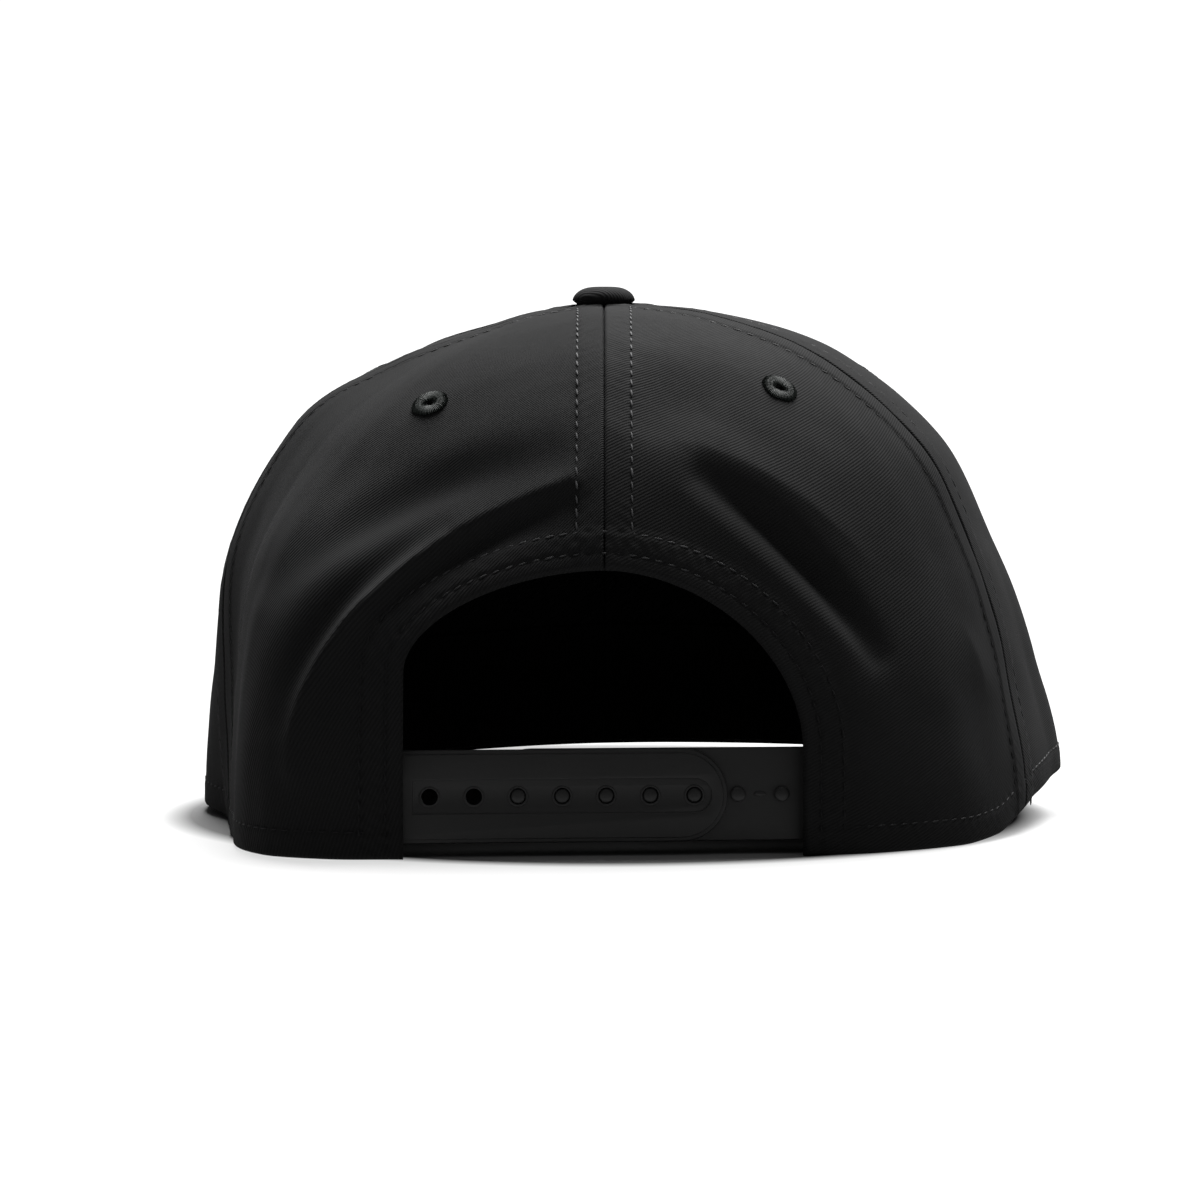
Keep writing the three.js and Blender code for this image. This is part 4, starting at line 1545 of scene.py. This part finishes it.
@dataclass
class Sweatband:
    """The band inside the hem, from one side of the opening round the front to the other.

    Attributes:
        form: the crown's surface.
        material: its cloth.
        height: its height, in millimetres like all that follow, apart from the angles.
        thickness: its thickness.
        lift: how far over the hem it starts.
        inset: how far outside the opening's edge it ends.
        gap: room between it and the crown's wall.
        clear: angle from its ends within which it keeps all of its extra room.
        back: angle from its ends beyond which it has none of it.
        room: the extra room at its ends.
    """

    form: CrownForm
    material: bpy.types.Material
    height: float = 29.0
    thickness: float = 1.2
    lift: float = 1.0
    inset: float = 4.0
    gap: float = 0.8
    clear: float = 12.0
    back: float = 28.0
    room: float = 4.5

    def build(self) -> bpy.types.Object:
        """Make the band.

        Returns:
            Its object.
        """
        form, cloth = self.form, self.form.sizes.cloth
        length, radius, round_off = 460, 92, 0.6
        reach = form.sizes.arch_width / 2 + self.inset
        start = float(form.spot_behind(reach, form.lift(30.0) + 0.5)[0])
        end = 360 + float(form.spot_behind(-reach, form.lift(-30.0) + 0.5)[0])
        along = spaced(length, 0.9, 1.5, 6)[:, None]
        up = spaced(self.height, 0.4, 0.9, 6)[None]
        angle = start + (end - start) * along + 0 * up
        from_end = np.minimum(angle - start, end - angle)
        ease = np.clip((from_end - self.clear) / (self.back - self.clear), 0, 1)
        depth = cloth + self.gap + (0.5 + 0.5 * np.cos(math.pi * ease)) * self.room + self.thickness / 2
        wave = 0.25 * np.sin(np.radians(angle) * 17 + 1.1 * np.sin(np.radians(angle) * 5)) * up
        height = self.lift + self.height * up + 0 * along
        climb = np.degrees(np.arcsin(np.clip(height / (form.sizes.height - form.lift(angle)), 0, 0.9)))
        inset = from_sides(form.plain(angle, climb)) / round_off
        relief = np.zeros_like(depth)
        flat = np.stack([np.radians(angle) * radius, height], -1) * MM
        middle = form.cloth(angle, climb, -depth - wave)
        wall = Wall(
            "sweatband", middle, form.normal(angle, climb), self.thickness / 2 * MM, inset, relief, flat
        )
        return settle(wall.build(self.material), "band", "sweatband")


@dataclass
class Peak:
    """The stiff curved peak at the front, covered in twill with rows of stitching."""

    form: CrownForm
    material: bpy.types.Material
    reach: float = 70.0
    thickness: float = 3.0
    arch: float = 9.0
    span: float = 124.0
    side: float = 2.5
    squareness: float = 2.25
    touch: float = 36.0
    sunk: float = 0.5
    rows: int = 8
    first_row: float = 5.0
    row_gap: float = 6.6
    groove: float = 0.28
    swell: float = 0.12

    def edge_height(self, turn: np.ndarray, corner: float) -> np.ndarray:
        """Height of the underside along the outer edge.

        Args:
            turn: 0 to pi from corner to corner.
            corner: height of the hem at the corner.

        Returns:
            Heights in millimetres.
        """
        touch = math.sin(math.radians(self.touch))
        forward = np.sin(turn)
        raised = np.maximum(0, (forward - touch) / (1 - touch))
        leave = np.minimum(1, forward / math.sin(math.radians(self.touch * 0.85)))
        return corner * (1 - smooth(0, 1, leave)) + self.arch * raised ** 1.5

    def surface(self, share: np.ndarray, along: np.ndarray) -> np.ndarray:
        """Points of the underside about the crown's axis.

        Args:
            share: 0 to 1 from the right corner round to the left one.
            along: 0 at the crown to 1 at the edge.

        Returns:
            Points in millimetres, with the coordinates last.
        """
        form = self.form
        share, along = np.broadcast_arrays(share, along)
        start = 180 - self.span / 2
        angle = start + self.span * share
        ends = form.plain(np.array([start, start + self.span]), np.zeros(2))
        lifts = form.lift(np.array([start, start + self.span]))
        hem = np.zeros_like(angle)
        root = form.plain(angle, hem) - form.normal(angle, hem) * self.sunk
        right = share < 0.5
        corner = np.where(right[..., None], ends[0], ends[1])
        turn = math.pi * share
        power = 2 / self.squareness
        half = np.abs(corner[..., 0]) + self.side
        reach = form.sizes.length / 2 + self.reach - corner[..., 1]
        edge = np.stack(
            [
                np.where(right, 1, -1) * half * np.abs(np.cos(turn)) ** power,
                corner[..., 1] + reach * np.clip(np.sin(turn), 0, 1) ** power,
                self.edge_height(turn, np.where(right, lifts[0], lifts[1])),
            ],
            -1,
        )
        point = root + (edge - root) * along[..., None]
        fall = smooth(0, 1, along)
        point[..., 2] = root[..., 2] + (edge[..., 2] - root[..., 2]) * (0.5 * along + 0.5 * fall)
        return point

    def row(self, number: int) -> tuple[np.ndarray, np.ndarray]:
        """One row of stitches, parallel to the edge.

        Args:
            number: 0 for the row nearest the edge.

        Returns:
            Points and directions in metres.
        """
        share = np.linspace(0.03 + 0.01 * number, 0.97 - 0.01 * number, 160)
        length = np.linalg.norm(self.surface(share, 1.0) - self.surface(share, 0.0), axis=-1)
        away = self.first_row + self.row_gap * number
        along = 1 - away / np.maximum(length, 1)
        kept = along > 0.04
        point = self.surface(share[kept], along[kept])
        point[:, 2] += self.thickness
        up = np.tile((0.0, 0.0, 1.0), (len(point), 1))
        return self.form.axis + point * MM, up

    def build(self) -> bpy.types.Object:
        """Make the peak.

        Returns:
            Its object.
        """
        share = spaced(280, 0.9, 1.5, 6)[:, None]
        along = spaced(75, 0.5, 0.9, 6)[None]
        point = self.surface(share, along)
        inset = from_sides(point) / (self.thickness / 2)
        length = np.linalg.norm(point[:, -1] - point[:, 0], axis=-1)[:, None]
        away = (1 - along) * length
        near = (away - self.first_row) / self.row_gap
        stitched = near < self.rows - 0.6
        from_row = (near - np.round(near)) * self.row_gap / 0.8
        relief = -self.groove * np.exp(-(from_row ** 2)) * (near > -0.4) * stitched
        relief += self.swell * np.cos(math.tau * near) * stitched
        outward = np.zeros_like(point)
        outward[..., 2] = 1
        middle = self.form.axis + (point + outward * self.thickness / 2) * MM
        wall = Wall(
            "peak", middle, outward, self.thickness / 2 * MM, inset, relief * MM, point[..., :2] * MM
        )
        return settle(wall.build(self.material), "twill", "peak")


@dataclass
class Closure:
    """The snapped closure: a holed strap from the left over a studded one from the right."""

    form: CrownForm
    material: bpy.types.Material
    width: float = 19.8
    thickness: float = 1.5
    rise: float = 3.0
    holes: int = 7
    engaged: int = 5
    pitch: float = 9.48
    hole: float = 3.5
    stud: float = 3.1
    end: float = 7.2
    last_hole: float = 19.4
    gap: float = 0.3
    recess: float = 0.45
    channel: float = 7.2

    def __post_init__(self) -> None:
        """Work out the slanted plane that the straps lie in."""
        axis = self.form.axis
        self.left = (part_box("strap_outer")[0][0] - axis[0]) / MM
        self.right = (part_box("strap_inner")[1][0] - axis[0]) / MM
        self._fit_plane()

    def _fit_plane(self) -> None:
        """Read the plane's slope and lean from the outer strap's own corners."""
        mesh = bpy.data.objects["strap_outer"].data
        points = np.array([v.co for v in mesh.vertices]) - self.form.axis
        points /= MM
        matrix = np.stack([points[:, 0], points[:, 2], np.ones(len(points))], -1)
        front = points[:, 1] - matrix @ np.linalg.lstsq(matrix, points[:, 1], rcond=None)[0]
        face = front < 0
        self.slope, self.lean, self.start = np.linalg.lstsq(matrix[face], points[face, 1], rcond=None)[0]

    def hole_place(self, k: int) -> float:
        """Place of a hole across, counted from the left."""
        return self.last_hole - self.pitch * (self.holes - 1 - k)

    def placed(self, points: np.ndarray, behind: float) -> np.ndarray:
        """Lay flat points into the closure's plane.

        Args:
            points: across, up and out of the face, in millimetres.
            behind: how far behind the front face they lie.

        Returns:
            Points in metres.
        """
        x, z, out = points[:, 0], points[:, 1], points[:, 2]
        y = self.start + self.slope * x + self.lean * z + behind - out
        return self.form.axis + np.stack([x, y, z], -1) * MM

    @property
    def middle(self) -> float:
        """Height of the row of holes."""
        return self.rise + self.width / 2

    def tongue(
        self, square: float, centre: float, radius: float, steps: int = 29
    ) -> list[tuple[float, float]]:
        """Outline with one square end and one round end.

        Args:
            square: place of the square end.
            centre: place of the round end's centre.
            radius: half of the width.
            steps: points of the round end.

        Returns:
            Points in order, anticlockwise.
        """
        side = 1 if centre > square else -1
        turns = np.linspace(-math.pi / 2, math.pi / 2, steps)
        line = [(square, self.middle - radius)]
        line += [(centre + side * radius * math.cos(t), self.middle + radius * math.sin(t)) for t in turns]
        line.append((square, self.middle + radius))
        return line[::side]

    def oval(self, centre: float, wide: float, tall: float, steps: int = 28) -> list[tuple[float, float]]:
        """Oval on the row of holes.

        Args:
            centre: its place across.
            wide: half of its width.
            tall: half of its height.
            steps: its points.

        Returns:
            Points in order.
        """
        turns = np.linspace(0, math.tau, steps, endpoint=False)
        return [(centre + wide * math.cos(t), self.middle + tall * math.sin(t)) for t in turns]

    @staticmethod
    def slab(loops: list[list[tuple[float, float]]], depth: float, bevel: float) -> bpy.types.Mesh:
        """Fill an outline with holes and give it thickness and softened edges.

        Args:
            loops: the outline first, then its holes.
            depth: thickness, in the loops' units.
            bevel: how far the edges are rounded.

        Returns:
            A mesh from 0 up to the depth.
        """
        curve = bpy.data.curves.new("slab", "CURVE")
        curve.dimensions = "2D"
        curve.fill_mode = "BOTH"
        curve.extrude = max(depth / 2 - bevel, 0)
        curve.bevel_depth = bevel
        curve.bevel_resolution = 3
        curve.offset = -bevel
        for loop in loops:
            spline = curve.splines.new("POLY")
            spline.points.add(len(loop) - 1)
            spline.points.foreach_set("co", [c for x, y in loop for c in (x, y, 0, 1)])
            spline.use_cyclic_u = True
        holder = bpy.data.objects.new("slab", curve)
        mesh = bpy.data.meshes.new_from_object(holder)
        bpy.data.objects.remove(holder)
        mesh.transform(Matrix.Translation((0, 0, depth / 2)))
        return mesh

    def joined(self, name: str, parts: list[tuple[bpy.types.Mesh, float]]) -> bpy.types.Object:
        """Join flat parts into one piece in the closure's plane.

        Args:
            name: the piece's name.
            parts: meshes and how far behind the front face each one's zero lies.

        Returns:
            The piece.
        """
        points, faces, first = [], [], 0
        for mesh, behind in parts:
            flat = np.array([v.co for v in mesh.vertices])
            points.append(self.placed(flat, behind))
            faces += [tuple(first + v for v in reversed(p.vertices)) for p in mesh.polygons]
            first += len(flat)
        piece = mesh_piece(name, np.concatenate(points), faces, self.material)
        made = bmesh.new()
        made.from_mesh(piece.data)
        bmesh.ops.remove_doubles(made, verts=made.verts, dist=2e-6)
        bmesh.ops.recalc_face_normals(made, faces=made.faces)
        made.to_mesh(piece.data)
        made.free()
        piece.data.set_sharp_from_angle(angle=math.radians(35))
        return piece

    def studs(self, first: float, count: int) -> bpy.types.Mesh:
        """A row of studs.

        Args:
            first: place of the first.
            count: how many.

        Returns:
            Their mesh, lying flat.
        """
        piece = linked("stud_row", bpy.data.meshes.new("stud_row"))
        pattern = Pattern("stud_row")
        pitch = pattern.size("Pitch", self.pitch)
        amount = pattern.size("Count", count, "NodeSocketInt")
        radius = pattern.size("Radius", self.stud / 2)
        step = pattern.node("ShaderNodeCombineXYZ", {}, {"X": pitch})
        row = pattern.node(
            "GeometryNodeMeshLine", {"mode": "OFFSET"},
            {"Count": amount, "Start Location": (first, self.middle, 0.0), "Offset": step},
        )
        post = pattern.node(
            "GeometryNodeMeshCylinder", {}, {"Vertices": 28, "Radius": radius, "Depth": 1.5}, "Mesh"
        )
        post = pattern.node("GeometryNodeTransform", {}, {"Geometry": post, "Translation": (0, 0, 0.3)})
        head = pattern.node("GeometryNodeMeshUVSphere", {}, {"Segments": 28, "Rings": 14, "Radius": radius})
        head = pattern.node(
            "GeometryNodeTransform", {},
            {"Geometry": head, "Translation": (0, 0, 1.05), "Scale": (1.03, 1.03, 0.3)},
        )
        stud = pattern.join(post, head)
        laid = pattern.node("GeometryNodeInstanceOnPoints", {}, {"Points": row, "Instance": stud})
        mesh = pattern.run(piece, laid, self.material).data
        bpy.data.objects.remove(piece)
        return mesh

    def build(self) -> list[bpy.types.Object]:
        """Make both straps.

        Returns:
            The outer and the inner strap.
        """
        half, radius = self.width / 2, self.hole / 2
        tip = self.last_hole + self.end - half
        centres = [self.hole_place(k) for k in range(self.holes)]
        holes = [self.oval(centre, radius, radius) for centre in centres]
        base = self.slab([self.tongue(self.left, tip, half)] + holes, self.thickness - self.recess, 0.35)
        channel = self.tongue(
            centres[0] - 3.6, self.last_hole + 3.7 - self.channel / 2, self.channel / 2, 15
        )
        border = self.slab([self.tongue(self.left, tip, half - 0.9), channel], self.recess + 0.3, 0.22)
        parts = [(base, self.thickness), (border, self.recess + 0.3)]
        for centre, hole in zip(centres, holes):
            rim = self.oval(centre, radius + 0.45, radius + 0.45)
            parts.append((self.slab([rim, hole], 0.4, 0.12), self.recess + 0.15))
        outer = settle(self.joined("strap_outer", parts), "strap", "strap_outer")
        first = centres[self.holes - self.engaged]
        back = 2 * self.thickness + self.gap
        face = back - self.thickness
        plate = self.slab([self.tongue(self.right, first - self.end + half, half)], self.thickness, 0.25)
        parts = [(plate, back), (self.studs(first, self.holes), face)]
        for k in range(self.holes - 1):
            dash = self.oval(first + self.pitch * (k + 0.5), 1.3, 0.5, 20)
            parts.append((self.slab([dash], 0.5, 0.15), face + 0.15))
        inner = settle(self.joined("strap_inner", parts), "strap", "strap_inner")
        return [outer, inner]


@dataclass
class Studio:
    """A wide white table, soft light from above and behind, and the camera.

    Attributes:
        material: the table's finish.
        rings: radii of the table's rings, in metres.
        steps: corners of a ring.
        dim: brightness of the surroundings as a light.
        seen: their brightness to look at.
        overhead: power of the lamp overhead, in watts.
        sun: strength of the sun.
        sun_width: how wide the sun looks, in degrees.
        sun_way: the way that its light goes.
        lens: the camera's lens, in millimetres.
        distance: from the camera to what it aims at, in metres.
        tilt: how far above level it stands, in degrees.
        aim: what it aims at, across from the crown's axis and up, in metres.
    """

    material: bpy.types.Material
    rings: tuple[float, ...] = (0.25, 0.5, 1.0, 2.0, 5.0, 12.0, 40.0)
    steps: int = 128
    dim: float = 0.14
    seen: float = 1.1
    overhead: float = 12
    sun: float = 14.5
    sun_width: float = 38
    sun_way: tuple[float, float, float] = (-0.12, -0.5, -0.86)
    lens: float = 141.0
    distance: float = 1.09
    tilt: float = 4
    aim: tuple[float, float] = (-0.00093, 0.04926)

    def table(self) -> bpy.types.Object:
        """Lay the table."""
        steps = self.steps
        angles = np.linspace(0, math.tau, steps, endpoint=False)
        points, faces = [(0.0, 0.0, 0.0)], []
        for radius in self.rings:
            points += [(radius * math.cos(t), radius * math.sin(t), 0.0) for t in angles]
        for k in range(steps):
            after = (k + 1) % steps
            faces.append((0, 1 + k, 1 + after))
            for low in range(1, 1 + (len(self.rings) - 1) * steps, steps):
                high = low + steps
                faces.append((low + k, high + k, high + after, low + after))
        table = mesh_piece("white_table", np.array(points), faces, self.material)
        return table

    def lights(self) -> None:
        """Hang a soft lamp overhead and set the sun behind the cap."""
        data = bpy.data.lights.new("overhead", "AREA")
        data.shape = "RECTANGLE"
        data.size = data.size_y = 2.4
        data.energy = self.overhead
        lamp = linked("overhead", data)
        lamp.location = (0.0, 0.1, 2.1)
        lamp.rotation_euler = (-lamp.location).to_track_quat("-Z", "Y").to_euler()
        sun = bpy.data.lights.new("key", "SUN")
        sun.energy = self.sun
        sun.angle = math.radians(self.sun_width)
        linked("key", sun).rotation_euler = Vector(self.sun_way).to_track_quat("-Z", "Y").to_euler()

    def surround(self) -> None:
        """Make the surroundings white to look at and dim as a light."""
        world = bpy.data.worlds.new("soft_white")
        world.use_nodes = True
        tree = world.node_tree
        path = add_node(tree, "ShaderNodeLightPath", {}, {}).outputs["Is Camera Ray"]
        blend = add_node(
            tree, "ShaderNodeMix", {"data_type": "FLOAT"}, {0: path, 2: self.dim, 3: self.seen}
        )
        background = tree.nodes["Background"]
        tree.links.new(blend.outputs[0], background.inputs["Strength"])
        background.inputs["Color"].default_value = (1, 1, 1, 1)
        bpy.context.scene.world = world

    def build(self, form: CrownForm) -> None:
        """Set the stage.

        Args:
            form: the crown, for the place of its axis.
        """
        self.table()
        self.surround()
        self.lights()
        data = bpy.data.cameras.new("camera")
        data.lens = self.lens
        data.sensor_width = 36.0
        data.clip_start = 0.05
        camera = linked("camera", data)
        tilt = math.radians(self.tilt)
        aim = Vector((float(form.axis[0]) + self.aim[0], float(form.axis[1]), self.aim[1]))
        camera.location = aim + Vector((0, -math.cos(tilt), math.sin(tilt))) * self.distance
        camera.rotation_euler = (math.radians(90 - self.tilt), 0, 0)
        bpy.context.scene.camera = camera
        bpy.context.scene.view_settings.view_transform = "Standard"


# Crown panels: their left and right seams seen from outside, and their eyelets
GORES = {
    "rear_left": ("rear_left", "back_again", EyeletPlace(-40.8, 54.5)),
    "rear_right": ("back", "rear_right", EyeletPlace(44.5, 56.2)),
    "side_right": ("rear_right", "side_right", EyeletPlace(101, 55)),
    "front_right": ("side_right", "front", EyeletPlace(151.5, 55)),
    "front_left": ("front", "side_left", EyeletPlace(208.5, 55)),
    "side_left": ("side_left", "rear_left", EyeletPlace(251, 55)),
}
REAR_SIDES = {"rear_left": Side.LEFT, "rear_right": Side.RIGHT}


def sew_crown(form: CrownForm, finishes: Finishes, peak: Peak) -> None:
    """Sew every visible row of stitches.

    Args:
        form: the crown's surface.
        finishes: the cap's materials.
        peak: the peak, for its rows.
    """
    seams = StitchRows("seam_stitches", form, finishes.thread, width=0.48)
    sides = StitchRows("side_stitches", form, finishes.side_thread, width=0.42)
    arch_top = form.spot_behind(np.array([0.0]), np.array([form.sizes.arch_height + 9]))[1][0]
    for name, seam in SEAMS.items():
        if name == "back_again":
            continue
        behind = name == "back"
        here = np.linspace(arch_top if behind else 1.0, 83, 260)
        for away in (-SEAM_ROW, SEAM_ROW):
            (seams if behind else sides).add_beside(seam.angle(here), here, away, 0.2 if behind else 0.02)
    seams.build()
    sides.build()
    edges = StitchRows("edge_stitches", form, finishes.thread, pitch=2.9, length=2.0, width=0.42)
    for side in Side:
        line = form.arch(side, 0, 300, SEAM_ROW)
        angle, rise = form.spot_behind(line[:, 0], line[:, 1])
        for away in ARCH_ROWS:
            edges.add_beside(angle, rise, away * side.value, 0.24)
    reach = form.sizes.arch_width / 2 + ARCH_ROWS[-1]
    for side in (Side.RIGHT, Side.LEFT):
        start = float(form.spot_behind(reach * side.value, SEAM_ROW)[0])
        angle = np.linspace(start, 117.0 * side.value, 400)
        rise = np.degrees(np.arcsin(SEAM_ROW / (form.sizes.height - form.lift(angle))))
        edges.add_spots(angle, rise, 0.1)
    edges.build()
    rows = StitchRows("peak_stitches", form, finishes.side_thread, pitch=3.4, length=2.3, width=0.45, slant=0)
    rows.lines = [peak.row(k) for k in range(peak.rows)]
    rows.build()


def main() -> None:
    """Build the cap piece by piece, then its stage."""
    logging.basicConfig(level=logging.INFO, format="%(name)s %(message)s")
    form = CrownForm(CrownSizes())
    finishes = Finishes(form)
    for place, (left, right, spot) in GORES.items():
        gore = ("panel_" + place, form, SEAMS[left], SEAMS[right], spot)
        if place in REAR_SIDES:
            RearPanel(*gore, finishes.rear[place], side=REAR_SIDES[place]).build()
        else:
            CrownPanel(*gore, finishes.side).build()
    for place, (_, _, spot) in GORES.items():
        Eyelet("eyelet_" + place, form, spot, finishes.eyelet).build()
    Button(form, finishes.button).build()
    Sweatband(form, finishes.band).build()
    peak = Peak(form, finishes.peak)
    peak.build()
    Closure(form, finishes.plastic).build()
    sew_crown(form, finishes, peak)
    Studio(finishes.table).build(form)


if __name__ == "__main__":
    main()
